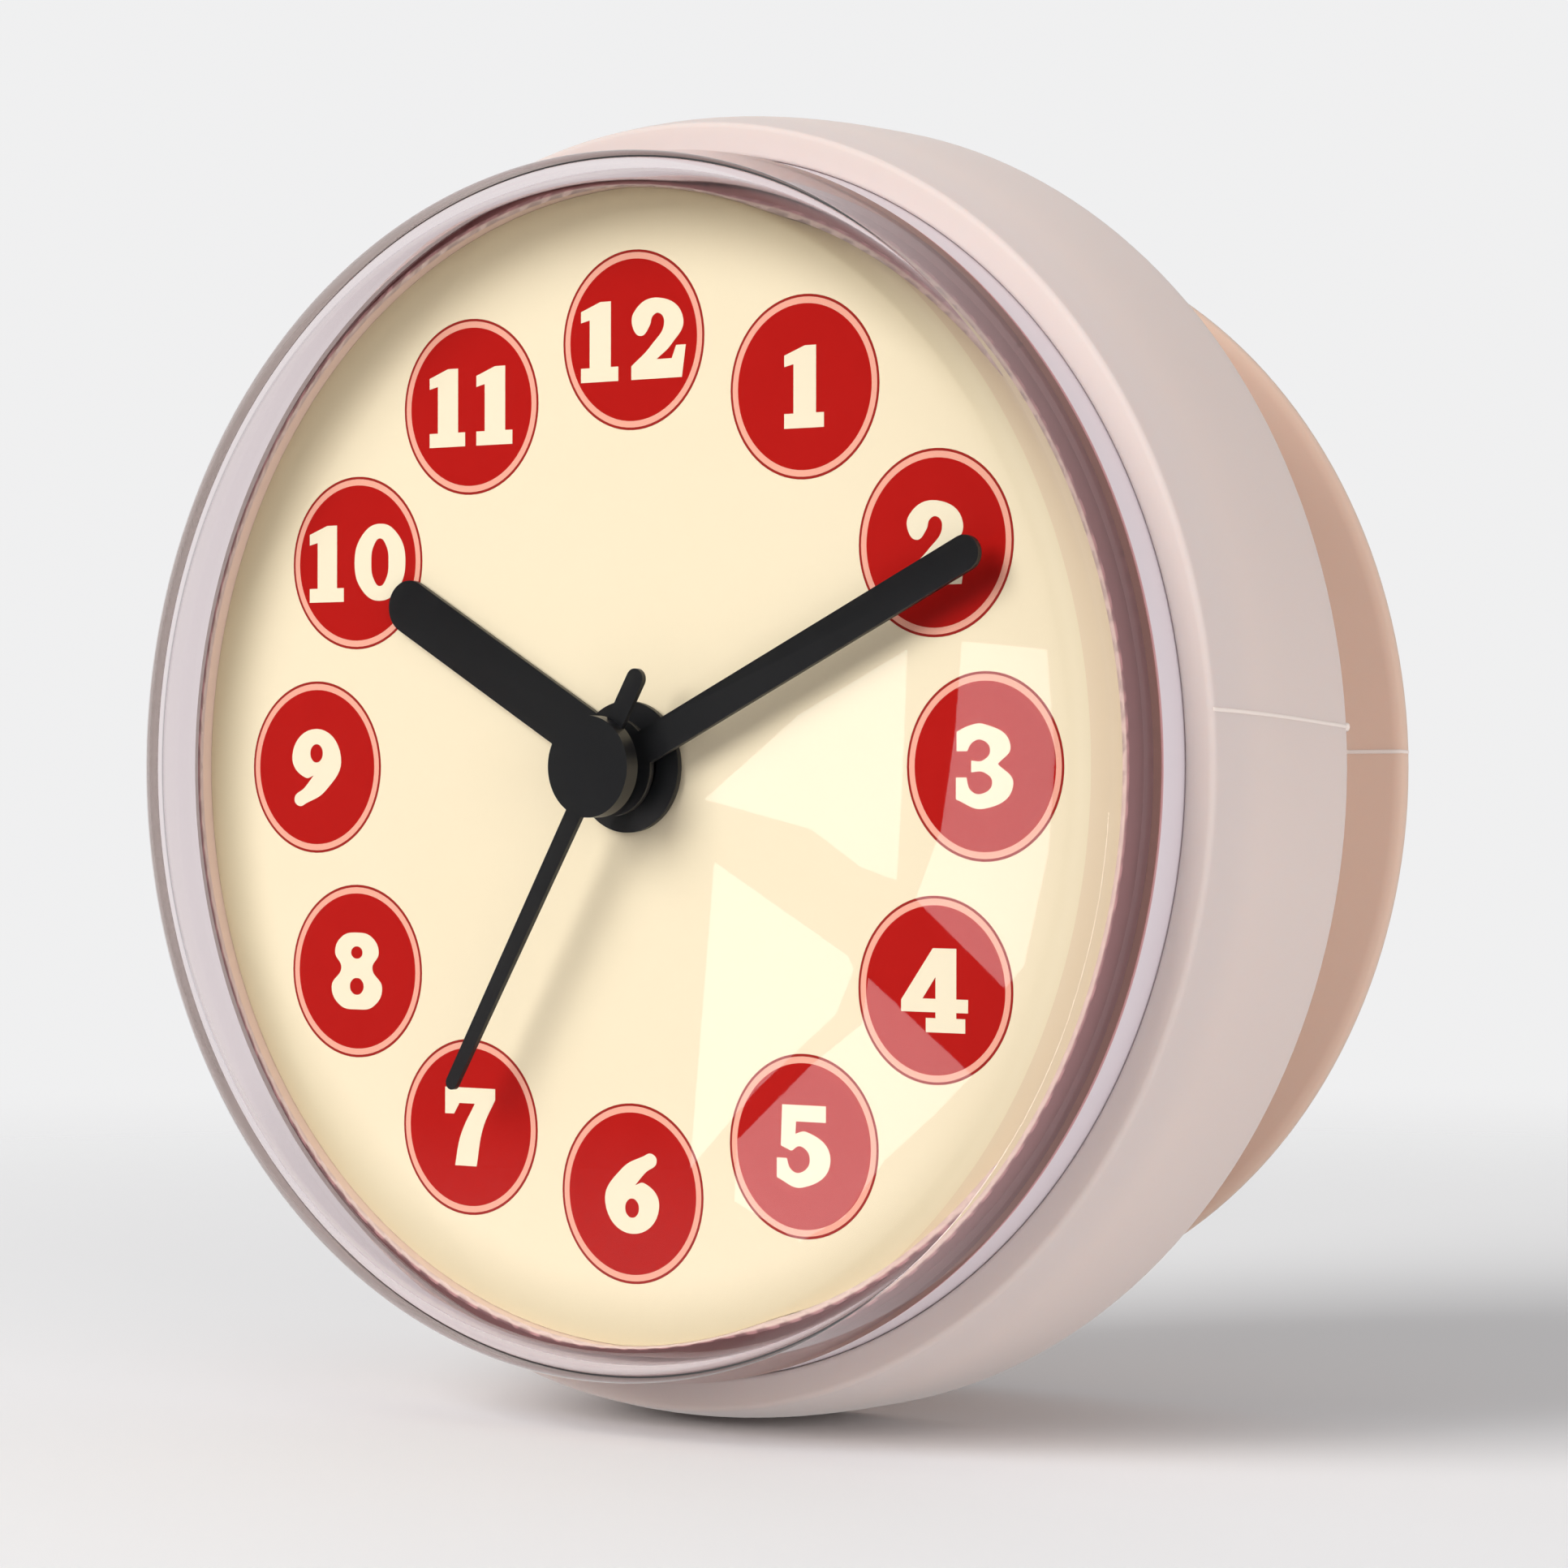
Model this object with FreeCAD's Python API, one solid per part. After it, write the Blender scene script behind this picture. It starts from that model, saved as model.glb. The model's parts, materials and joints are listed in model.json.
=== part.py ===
import FreeCAD, Part
import math
import os
from FreeCAD import Vector

# Shower clock with a suction cup: a soft sleeve, a clear-fronted clock core that pulls out of it,
# and a quartz movement with its wheel train inside the core.
# Modelling frame: the clock axis is Z, counted up from the wall, X is right and Y is up.
# The pieces are turned at the end, so that up is +Z and the dial faces -Y.

# Driving sizes of the sleeve and its suction cup, in millimetres
rim_wall = 3.15
barrel_taper = 5.2
mouth_wall = 1.5
floor_wall = 1.9
cup_r = 38.0
cup_lip = 1.6
cup_bend_r = 25.0
cup_bend_height = 6.2
cup_front = 11.4
hollow_r = 28.0
hollow_depth = 3.4
neck_r = 15.0
neck_length = 6.0

# Driving sizes of the core: case, dial, seal and lens
dial_seat = 1.55
dial_rim = 0.5
rim_rise = 0.8
groove_width = 1.0
core_stand = 1.4
carrier_wall = 1.1
dial_wall = 0.6
seal_wall = 0.4
lens_wall = 0.9
lens_pane = 1.0
lens_reach = 0.4
lens_shoulder = 3.4
lens_draft = 0.5
lens_proud = 0.1
shoulder_steps = 3
hook_width = 8.0
hook_wall = 1.5
hook_bite = 0.8
hook_nose = 0.9

# Driving sizes of the movement
move_top = 24.0
move_corner = 4.0
end_wall = 1.95
plate_wall = 1.2
shell_wall = 1.1
seam_from_front = 3.7
neck_wall = 1.0
neck_stand = 0.15

# Driving sizes of the wheel train: teeth, modules, and the directions of the arbors in degrees
rotor_leaves = 6
inter_teeth = 36
inter_leaves = 6
second_teeth = 30
second_leaves = 6
third_teeth = 48
third_leaves = 6
centre_teeth = 45
cannon_leaves = 6
minute_teeth = 18
minute_leaves = 6
hour_teeth = 24
rotor_module = 0.25
second_module = 0.3
third_module = 0.25
cannon_module = 0.48
pressure = 20.0
backlash = 0.16
root_share = 1.2
tip_share = 0.85
wheel_wall = 0.6
level_gap = 0.5
inter_way = 60.0
rotor_way = 100.0
third_way = 200.0
minute_way = -80.0
knob_way = -20.0
arbor_r = 0.4
minute_tube_r = 1.75
hour_tube_wall = 0.7
magnet_r = 2.2
bridge_wall = 0.7
bridge_width = 3.6
post_half = 0.9
third_post_way = 170.0
inter_post_way = -20.0
pivot_sides = 12

# Driving sizes of the hands, with their clock angles in degrees
hour_angle = 299.8
hour_length = 23.4
hour_width = 3.6
hour_hub_r = 4.3
minute_angle = 64.7
minute_length = 32.0
minute_width = 2.25
minute_hub_r = 3.2
second_angle = 210.3
second_length = 24.7
second_tail = 7.2
second_width = 1.35
second_tip = 0.95
second_disc_r = 3.3
second_disc_wall = 1.1
hand_wall = 0.35
hub_wall = 0.4
minute_lift = 1.1
second_lift = 1.4
hand_room = 0.3
tip_steps = 6

# Driving sizes of the battery, an AAA cell, and of the electric parts
cell_r = 5.25
cell_length = 44.5
nub_r = 1.9
nub_height = 0.8
cell_drop = 19.3
bay_gap = 0.4
contact_wall = 0.3
leaf_back_share = 0.7
leaf_front_share = 0.5
contact_width = 5.0
tail_width = 2.0
end_room = 2.8
board_wall = 0.8
board_width = 10.6
board_low = -8.0
board_high = 16.0
chip_r = 2.4
chip_rise = 0.9
crystal_r = 1.0
crystal_length = 6.0
coil_r = 2.6
coil_length = 14.0
coil_rise = 18.4
flange_wall = 0.8
flange_over = 0.3
tube_wall = 0.4
strip_wall = 0.6
strip_width = 2.6
knob_r = 3.6
knob_wall = 1.1
knob_ridges = 10
knob_groove = 0.4
ridge_share = 0.5
slope_share = 0.1

# Clearances
slide_gap = 0.25
floor_gap = 0.3
knob_gap = 0.1
back_room = 0.2
case_room = 1.5
face_gap = 0.1
running = 0.05
push_fit = 0.02
case_fit = 0.15
hub_gap = 0.15
stator_gap = 0.4

# The movement closes round the battery, and the case, the lens and the sleeve close round the movement
move_width = cell_length + 2 * (end_room + end_wall)
move_bottom = cell_drop + cell_r + bay_gap + shell_wall
move_depth = 2 * cell_r + floor_gap + plate_wall + face_gap
case_depth = move_depth + knob_gap + knob_wall + back_room
corner_r = max(math.hypot(move_width / 2, side - move_corner) for side in (move_top, move_bottom))
case_bore = corner_r + case_room
dial_bore = case_bore + dial_seat
rim_out_r = dial_bore + dial_rim
lens_bore = rim_out_r + groove_width
lens_r = lens_bore + lens_wall
case_r = lens_r - lens_proud
cavity_r = case_r + slide_gap
rim_r = cavity_r + rim_wall

# Heights above the wall that follow from the sizes
shell_back = cup_front + neck_length
cavity_floor = shell_back + floor_wall
case_back = cavity_floor + floor_gap
carrier_back = case_back + case_depth
mouth = carrier_back - core_stand
carrier_front = carrier_back + carrier_wall
dial_face = carrier_front + dial_wall
rim_top = dial_face + rim_rise
lens_foot = dial_face - lens_reach
shoulder = lens_foot - seal_wall
move_front = carrier_back
move_back = move_front - move_depth
plate_inside = move_front - plate_wall
shell_inside = move_back + shell_wall
seam = move_front - seam_from_front
hour_tube_bore = minute_tube_r + running
hour_tube_r = hour_tube_bore + hour_tube_wall
neck_bore = hour_tube_r + running
neck_tube_r = neck_bore + neck_wall
neck_top = dial_face + neck_stand
hour_hub_low = neck_top + hub_gap
hour_hub_high = hour_hub_low + hub_wall
minute_hub_low = hour_hub_high + minute_lift
minute_hub_high = minute_hub_low + hub_wall
second_disc_low = minute_hub_high + second_lift
second_disc_high = second_disc_low + second_disc_wall
pane_under = second_disc_high + hand_room
lens_top = pane_under + lens_pane

# Levels of the wheels, from the back of the movement to its front
second_low = shell_inside + level_gap
inter_low = second_low + wheel_wall + level_gap
third_low = inter_low + wheel_wall + level_gap
bridge_low = third_low + wheel_wall + level_gap
bridge_high = bridge_low + bridge_wall
centre_low = bridge_high + level_gap
cannon_low = centre_low + wheel_wall + level_gap
hour_low = cannon_low + wheel_wall + level_gap

# Arbor places: each wheel stands at the sum of the pitch radii of its mesh
inter_step = second_module * (inter_leaves + second_teeth) / 2
third_step = third_module * (second_leaves + third_teeth) / 2
centre_module = 2 * third_step / (third_leaves + centre_teeth)
minute_step = cannon_module * (cannon_leaves + minute_teeth) / 2
hour_module = 2 * minute_step / (minute_leaves + hour_teeth)
rotor_step = rotor_module * (rotor_leaves + inter_teeth) / 2
middle = Vector(0, 0, 0)
corner_share = 2 - math.sqrt(2)


def toward(start, way, length):
    """The point at a direction in degrees and a distance from another point."""
    a = math.radians(way)
    return start + Vector(length * math.cos(a), length * math.sin(a), 0)


inter_at = toward(middle, inter_way, inter_step)
rotor_at = toward(inter_at, rotor_way, rotor_step)
third_at = toward(middle, third_way, third_step)
minute_at = toward(middle, minute_way, minute_step)
knob_at = toward(minute_at, knob_way, minute_step)


def turned(points):
    """Revolve a closed profile of radius and height about the clock axis."""
    outline = [Vector(r, 0, h) for r, h in points]
    face = Part.Face(Part.makePolygon(outline + [outline[0]]))
    return face.revolve(Vector(0, 0, 0), Vector(0, 0, 1), 360)


def rod(r, low, high, at=middle):
    """A round bar along the axis between two heights."""
    return Part.makeCylinder(r, high - low, Vector(at.x, at.y, low))


def pin(r, low, high, at=middle):
    """A slim arbor with flats round it, its corners at the radius."""
    return prism([toward(at, 360 * k / pivot_sides, r) for k in range(pivot_sides)], low, high)


def pivot_hole(low, high, at=middle):
    """The hole that a slim arbor turns in, its flats clear of the arbor's corners."""
    return pin((arbor_r + running) / math.cos(math.pi / pivot_sides), low, high, at)


def tube(outer, inner, low, high):
    return rod(outer, low, high).cut(rod(inner, low - 1, high + 1))


def block(x0, x1, y0, y1, low, high):
    return Part.makeBox(x1 - x0, y1 - y0, high - low, Vector(x0, y0, low))


def prism(points, low, high):
    """Extrude a closed outline between two heights."""
    outline = [Vector(p.x, p.y, low) for p in points]
    face = Part.Face(Part.makePolygon(outline + [outline[0]]))
    return face.extrude(Vector(0, 0, high - low))


def strap(path, width, low, high):
    """A flat bar of one width that follows a path of places, square at its ends and mitred at its bends."""
    left, right = [], []
    for k, spot in enumerate(path):
        before = (spot - path[k - 1]).normalize() if k else (path[1] - spot).normalize()
        after = (path[k + 1] - spot).normalize() if k + 1 < len(path) else before
        if not k:
            spot = spot - before * (width / 2)
        if k + 1 == len(path):
            spot = spot + after * (width / 2)
        along = (before + after).normalize()
        side = Vector(-along.y, along.x, 0) * (width / 2 / along.dot(before))
        left.append(spot + side)
        right.append(spot - side)
    return prism(left + right[::-1], low, high)


# Silicone sleeve: flared shell, neck and suction cup moulded in one
def silicone_sleeve():
    return turned([
        (0, hollow_depth),
        (hollow_r, hollow_depth),
        (cup_r - cup_lip, 0),
        (cup_r, 0),
        (cup_bend_r, cup_bend_height),
        (neck_r, cup_front),
        (neck_r, shell_back),
        (rim_r, shell_back),
        (rim_r, mouth - barrel_taper),
        (cavity_r + mouth_wall, mouth),
        (cavity_r, mouth),
        (cavity_r, cavity_floor),
        (0, cavity_floor),
    ])


# Clear lens cap: flat pane, rounded shoulder and skirt of about one wall, its skirt round the case's front rim
def lens_side(foot_r, round_r, top):
    """One side of the lens's wall: up the drafted skirt, round the shoulder, and over to the axis at the top."""
    centre_r = foot_r - lens_draft - round_r
    side = [(foot_r, lens_foot)]
    for k in range(shoulder_steps + 1):
        a = math.pi / 2 * k / shoulder_steps
        side.append((centre_r + round_r * math.cos(a), top - round_r * (1 - math.sin(a))))
    return side + [(0, top)]


def front_lens():
    outside = lens_side(lens_r, lens_shoulder, lens_top)
    inside = lens_side(lens_bore, lens_shoulder - lens_wall, pane_under)
    return turned(outside + inside[::-1])


# Seal: a flat rubber ring under the lens's foot, on the case's shoulder outside the groove
def lens_seal():
    return tube(case_r - face_gap, lens_bore + face_gap, shoulder, lens_foot)


# Core case: a drum open at the back, with a shoulder for the seal and the lens, and a rim round the dial
def core_case():
    body = turned([
        (neck_tube_r + face_gap, carrier_back),
        (case_bore, carrier_back),
        (case_bore, case_back),
        (case_r, case_back),
        (case_r, shoulder),
        (rim_out_r, shoulder),
        (rim_out_r, rim_top),
        (dial_bore, rim_top),
        (dial_bore, carrier_front),
        (neck_tube_r + face_gap, carrier_front),
    ])
    hooks = []
    for side, way in ((move_width / 2, 0), (move_top, 90), (move_width / 2, 180), (move_bottom, -90)):
        hook = snap_hook(side + case_fit)
        hook.rotate(Vector(0, 0, 0), Vector(0, 0, 1), way)
        hooks.append(hook)
    return body.fuse(hooks).removeSplitter()


def snap_hook(side):
    """A spring arm beside the movement, whose nose bites over the movement's back edge."""
    back = move_back - face_gap
    outline = [
        Vector(side, 0, carrier_back),
        Vector(side + hook_wall, 0, carrier_back),
        Vector(side + hook_wall, 0, back - hook_nose),
        Vector(side, 0, back - hook_nose),
        Vector(side - hook_bite, 0, back - hook_nose / 3),
        Vector(side - hook_bite, 0, back),
        Vector(side, 0, back),
    ]
    face = Part.Face(Part.makePolygon(outline + [outline[0]]))
    arm = face.extrude(Vector(0, hook_width, 0))
    arm.translate(Vector(0, -hook_width / 2, 0))
    return arm


# Dial: a flat printed disc on the carrier, inside the case's front rim
def dial():
    return tube(dial_bore - push_fit, neck_tube_r + face_gap, carrier_front, dial_face)


# Movement housing: front plate with the threaded neck, and back cover with the battery bay
def housing_outline(inset, low, high):
    """The movement's outline, moved in by a wall, as a block with cut corners between two heights."""
    half = move_width / 2 - inset
    body = block(-half, half, -move_bottom + inset, move_top - inset, low, high)
    upright = [e for e in body.Edges if e.BoundBox.ZLength > (high - low) / 2]
    return body.makeChamfer(move_corner - inset * corner_share, upright)


def battery_bay(low, high, grow=0.0):
    """The battery bay: the cell, room at its ends for the contacts, and a gap beside it."""
    half_x = cell_length / 2 + end_room + grow
    half_y = cell_r + bay_gap + grow
    room = block(-half_x, half_x, -cell_drop - half_y, -cell_drop + half_y, low, high)
    return room.common(housing_outline(shell_wall - grow, low, high))


def movement_front_plate():
    plate = housing_outline(0, seam, move_front)
    plate = plate.cut(housing_outline(shell_wall, seam - 1, plate_inside))
    pivot_depth = plate_inside + plate_wall / 2
    plate = plate.fuse([
        rod(neck_tube_r, plate_inside, neck_top),
        pin(arbor_r, cannon_low - level_gap, plate_inside, minute_at),
    ])
    return plate.cut([
        rod(neck_bore, seam, neck_top + 1),
        pivot_hole(seam, pivot_depth, third_at),
        pivot_hole(seam, pivot_depth, knob_at),
    ])


def movement_back_cover():
    cover = housing_outline(0, move_back, seam)
    cover = cover.cut(housing_outline(shell_wall, shell_inside, seam + 1))
    cover = cover.fuse(battery_bay(move_back, seam, shell_wall))
    cover = cover.cut([battery_bay(move_back - 1, seam + 1), pivot_hole(move_back - 1, seam, knob_at)])
    for at in (middle, inter_at, third_at, rotor_at):
        cover = cover.cut(pivot_hole(shell_inside - shell_wall / 2, seam, at))
    return cover.removeSplitter()


# Bridge: the plate over the fast wheels, on two square posts that stand on the back cover
def post(at):
    return block(at.x - post_half, at.x + post_half, at.y - post_half, at.y + post_half, shell_inside, bridge_low)


def train_bridge():
    leaf_r = centre_module * (third_leaves / 2 + 1) + running
    beside_third = toward(third_at, third_post_way, third_module * (third_teeth / 2 + 1) + post_half + level_gap)
    beside_inter = toward(inter_at, inter_post_way, rotor_module * (inter_teeth / 2 + 1) + post_half + level_gap)
    plate = strap([beside_third, third_at, middle, inter_at, beside_inter], bridge_width, bridge_low, bridge_high)
    plate = plate.fuse([
        strap([inter_at, rotor_at], bridge_width, bridge_low, bridge_high),
        post(beside_third),
        post(beside_inter),
    ])
    holes = [pivot_hole(bridge_low - 1, bridge_high + 1, at) for at in (middle, inter_at, rotor_at)]
    return plate.cut(holes + [rod(leaf_r, bridge_low - 1, bridge_high + 1, third_at)]).removeSplitter()


# Toothed wheels
def involute(a):
    return math.tan(a) - a


def teeth_ring(teeth, module, low, high, phase, at=middle):
    """A spur wheel. Each flank is a run between the involute's places at the root and the tip, with some play."""
    pitch = module * teeth / 2
    base = pitch * math.cos(math.radians(pressure))
    half = math.pi / (2 * teeth) * (1 - backlash)
    points = []
    for k in range(teeth):
        tooth_way = math.radians(phase) + 2 * math.pi * k / teeth
        flank = []
        for r in (pitch - root_share * module, pitch + tip_share * module):
            bend = involute(math.acos(min(1.0, base / r)))
            flank.append((r, half + involute(math.radians(pressure)) - bend))
        points += [toward(at, math.degrees(tooth_way - a), r) for r, a in flank]
        points += [toward(at, math.degrees(tooth_way + a), r) for r, a in reversed(flank)]
    return prism(points, low, high)


def meshed(phase, teeth, way, other_teeth):
    """The phase of a wheel whose gap takes a tooth of the wheel that it meets, in a direction from that wheel."""
    return way + 180 + (180 - (phase - way) * teeth) / other_teeth


arbor_foot = shell_inside - shell_wall / 4
pivot_top = plate_inside + plate_wall / 4
inter_phase = meshed(0, rotor_leaves, rotor_way + 180, inter_teeth)
second_phase = meshed(0, inter_leaves, inter_way + 180, second_teeth)
third_phase = meshed(0, second_leaves, third_way, third_teeth)
centre_phase = meshed(0, third_leaves, third_way + 180, centre_teeth)
minute_phase = meshed(0, cannon_leaves, minute_way, minute_teeth)
hour_phase = meshed(0, minute_leaves, minute_way + 180, hour_teeth)
knob_phase = meshed(minute_phase, minute_teeth, knob_way, cannon_leaves)


def rotor():
    """Rotor: pinion and magnet drum on one arbor, between the back cover and the bridge."""
    leaves = teeth_ring(rotor_leaves, rotor_module, inter_low, third_low, 0, rotor_at)
    arbor = pin(arbor_r, arbor_foot, bridge_high, rotor_at)
    magnet = rod(magnet_r, third_low - level_gap / 2, third_low + wheel_wall + level_gap / 2, rotor_at)
    return leaves.fuse([arbor, magnet]).removeSplitter()


def intermediate_wheel():
    wheel = teeth_ring(inter_teeth, rotor_module, inter_low, inter_low + wheel_wall, inter_phase, inter_at)
    leaves = teeth_ring(inter_leaves, second_module, second_low, inter_low, 0, inter_at)
    return wheel.fuse([leaves, pin(arbor_r, arbor_foot, bridge_high, inter_at)]).removeSplitter()


def second_wheel():
    wheel = teeth_ring(second_teeth, second_module, second_low, second_low + wheel_wall, second_phase)
    leaves = teeth_ring(second_leaves, third_module, third_low - level_gap / 2, third_low + wheel_wall, 0)
    return wheel.fuse([leaves, pin(arbor_r, arbor_foot, second_disc_high - hand_wall - push_fit)]).removeSplitter()


def third_wheel():
    wheel = teeth_ring(third_teeth, third_module, third_low, third_low + wheel_wall, third_phase, third_at)
    leaves = teeth_ring(third_leaves, centre_module, third_low + wheel_wall, centre_low + wheel_wall, 0, third_at)
    return wheel.fuse([leaves, pin(arbor_r, arbor_foot, pivot_top, third_at)]).removeSplitter()


clutch_r = cannon_module * (cannon_leaves / 2 - root_share)


def centre_wheel():
    """Centre wheel: it drives the minute arbor through the friction of its bore."""
    wheel = teeth_ring(centre_teeth, centre_module, centre_low, centre_low + wheel_wall, centre_phase)
    return wheel.cut(rod(clutch_r + running, centre_low - 1, centre_low + wheel_wall + 1))


def cannon_pinion():
    """Minute arbor: a tube with its pinion, on which the centre wheel slips when the hands are set."""
    tube_low = cannon_low + wheel_wall + level_gap / 2
    body = teeth_ring(cannon_leaves, cannon_module, cannon_low, tube_low, 0)
    body = body.fuse([
        rod(clutch_r, bridge_high + level_gap / 4, cannon_low),
        rod(minute_tube_r, tube_low, minute_hub_high),
    ])
    return body.cut(pivot_hole(bridge_high, minute_hub_high + 1)).removeSplitter()


def minute_wheel():
    wheel = teeth_ring(minute_teeth, cannon_module, cannon_low, cannon_low + wheel_wall, minute_phase, minute_at)
    leaves = teeth_ring(minute_leaves, hour_module, cannon_low + wheel_wall, hour_low + wheel_wall, 0, minute_at)
    bore = pivot_hole(cannon_low - 1, hour_low + wheel_wall + 1, minute_at)
    return wheel.fuse(leaves).cut(bore).removeSplitter()


def hour_wheel():
    wheel = teeth_ring(hour_teeth, hour_module, hour_low, hour_low + wheel_wall, hour_phase)
    body = wheel.fuse(rod(hour_tube_r, hour_low, hour_hub_high))
    return body.cut(rod(hour_tube_bore, hour_low - 1, hour_hub_high + 1)).removeSplitter()


# Setting knob: a ridged thumb wheel behind the back cover, its pinion in mesh with the minute wheel
def setting_knob():
    high = move_back - knob_gap
    groove_r = knob_r - knob_groove
    ridge = ((0, knob_r), (ridge_share, knob_r), (ridge_share + slope_share, groove_r), (1 - slope_share, groove_r))
    knob = [toward(knob_at, 360 * (k + share) / knob_ridges, r) for k in range(knob_ridges) for share, r in ridge]
    leaves = teeth_ring(cannon_leaves, cannon_module, cannon_low, cannon_low + wheel_wall, knob_phase, knob_at)
    shaft = pin(arbor_r, high, pivot_top, knob_at)
    return prism(knob, high - knob_wall, high).fuse([shaft, leaves]).removeSplitter()


# Hands, stamped flat, with a hub disc on the end of each arbor
def blade(angle, length, wide, narrow, low, high):
    """A flat hand from the axis to its round tip, at a clock angle."""
    tip_r = narrow / 2
    points = [Vector(-wide / 2, 0, 0), Vector(wide / 2, 0, 0)]
    for k in range(tip_steps + 1):
        points.append(toward(Vector(0, length - tip_r, 0), 180 * k / tip_steps, tip_r))
    hand = prism(points, low, high)
    hand.rotate(Vector(0, 0, 0), Vector(0, 0, 1), -angle)
    return hand


def hour_hand():
    hand = blade(hour_angle, hour_length, hour_width, hour_width, hour_hub_low, hour_hub_high)
    hand = hand.fuse(rod(hour_hub_r, hour_hub_low, hour_hub_high))
    return hand.cut(rod(hour_tube_r + push_fit, hour_hub_low - 1, hour_hub_high + 1)).removeSplitter()


def minute_hand():
    hand = blade(minute_angle, minute_length, minute_width, minute_width, minute_hub_low, minute_hub_high)
    hand = hand.fuse(rod(minute_hub_r, minute_hub_low, minute_hub_high))
    return hand.cut(rod(minute_tube_r + push_fit, minute_hub_low - 1, minute_hub_high + 1)).removeSplitter()


def second_hand():
    low = second_disc_low
    hand = blade(second_angle, second_length, second_width, second_tip, low, low + hand_wall)
    tail = blade(second_angle + 180, second_tail, second_width, second_width, low, low + hand_wall)
    hand = hand.fuse([tail, rod(second_disc_r, second_disc_low, second_disc_high)])
    return hand.cut(pivot_hole(second_disc_low - 1, second_disc_high - hand_wall)).removeSplitter()


# Battery and its leaf contacts
cell_height = plate_inside - floor_gap - cell_r
contact_wall_x = cell_length / 2 + end_room - push_fit
tail_low = seam + board_wall + level_gap
tail_high = tail_low + contact_wall


def battery():
    start = Vector(-cell_length / 2, -cell_drop, cell_height)
    can_length = cell_length - nub_height
    can = Part.makeCylinder(cell_r, can_length, start, Vector(1, 0, 0))
    return can.fuse(Part.makeCylinder(nub_r, nub_height, start + Vector(can_length, 0, 0), Vector(1, 0, 0)))


def leaf(side):
    """A strip along the end wall of the bay, bent back so that its knee bears on the cell."""
    t = contact_wall
    wall = contact_wall_x
    touch = cell_length / 2 + push_fit
    back = cell_height - cell_r * leaf_back_share
    front = cell_height + cell_r * leaf_front_share
    line = [
        (wall, tail_high), (wall, back), (wall - 2 * t, back - t), (touch, cell_height - t),
        (touch, cell_height + t), (touch + 3 * t, front), (touch + 4 * t, front), (touch + t, cell_height + t),
        (touch + t, cell_height - t / 2), (wall - 1.7 * t, back + t / 2), (wall - t, back + t),
        (wall - t, tail_high),
    ]
    outline = [Vector(side * x, -cell_drop - contact_width / 2, h) for x, h in line]
    return Part.Face(Part.makePolygon(outline + [outline[0]])).extrude(Vector(0, contact_width, 0))


def battery_contact_positive():
    wall = contact_wall_x
    tail = block(wall - tail_width, wall, -cell_drop - contact_width / 2, board_low + tail_width, tail_low, tail_high)
    return leaf(1).fuse(tail).removeSplitter()


def battery_contact_negative():
    wall = contact_wall_x
    run_low = -cell_drop + cell_r + bay_gap
    run_high = run_low + tail_width
    run_end = board_left + 2 * tail_width
    start = -cell_drop - contact_width / 2
    tail = block(-wall, -wall + tail_width, start, run_high, tail_low, tail_high)
    run = block(-wall, run_end, run_low, run_high, tail_low, tail_high)
    rise = block(run_end - tail_width, run_end, run_low, board_low + tail_width, tail_low, tail_high)
    return leaf(-1).fuse([tail, run, rise]).removeSplitter()


# Circuit board with the resin drop over its chip, and the crystal's can
board_right = move_width / 2 - shell_wall - face_gap
board_left = board_right - board_width
board_middle = (board_left + board_right) / 2
board_back = tail_low - board_wall


def circuit_board():
    return block(board_left, board_right, board_low, board_high, board_back, tail_low)


def chip_blob():
    return rod(chip_r, board_back - chip_rise, board_back, Vector(board_middle, board_low + board_width / 2, 0))


def quartz_crystal():
    foot = Vector(board_middle, board_high - crystal_length - 2 * crystal_r, board_back - crystal_r)
    return Part.makeCylinder(crystal_r, crystal_length, foot, Vector(0, 1, 0))


# Stator, coil bobbin and winding
strip_middle = third_low + wheel_wall / 2
coil_x = rotor_at.x
coil_half = coil_length / 2 + flange_wall
slot_y = strip_width / 2 + push_fit
slot_h = strip_wall / 2 + push_fit


def stator():
    """Soft iron strip: a bar through the coil, two legs, and a plate with the rotor's round hole."""
    low = strip_middle - strip_wall / 2
    high = strip_middle + strip_wall / 2
    leg_in = coil_half + face_gap
    leg_out = leg_in + strip_width
    hole = magnet_r + stator_gap
    foot = rotor_at.y - hole - strip_width / 2
    head = rotor_at.y + hole + strip_width / 2
    top = coil_rise + strip_width / 2
    frame = block(coil_x - leg_out, coil_x + leg_out, foot, top, low, high)
    window = block(coil_x - leg_in, coil_x + leg_in, head, coil_rise - strip_width / 2, low - 1, high + 1)
    frame = frame.cut(window)
    return frame.cut(rod(hole, low - 1, high + 1, rotor_at))


def bobbin_block(half_y, half_h, start, end):
    return block(coil_x + start, coil_x + end, coil_rise - half_y, coil_rise + half_y,
                 strip_middle - half_h, strip_middle + half_h)


def coil_bobbin():
    flange = coil_r + flange_over
    body = bobbin_block(slot_y + tube_wall, slot_h + tube_wall, -coil_half, coil_half)
    body = body.fuse([
        bobbin_block(flange, flange, -coil_half, -coil_half + flange_wall),
        bobbin_block(flange, flange, coil_half - flange_wall, coil_half),
    ])
    return body.cut(bobbin_block(slot_y, slot_h, -coil_half - 1, coil_half + 1)).removeSplitter()


def coil_winding():
    half = coil_length / 2 - push_fit
    inner = bobbin_block(slot_y + tube_wall + push_fit, slot_h + tube_wall + push_fit, -coil_half, coil_half)
    foot = Vector(coil_x - half, coil_rise, strip_middle)
    return Part.makeCylinder(coil_r, 2 * half, foot, Vector(1, 0, 0)).cut(inner)


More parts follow.
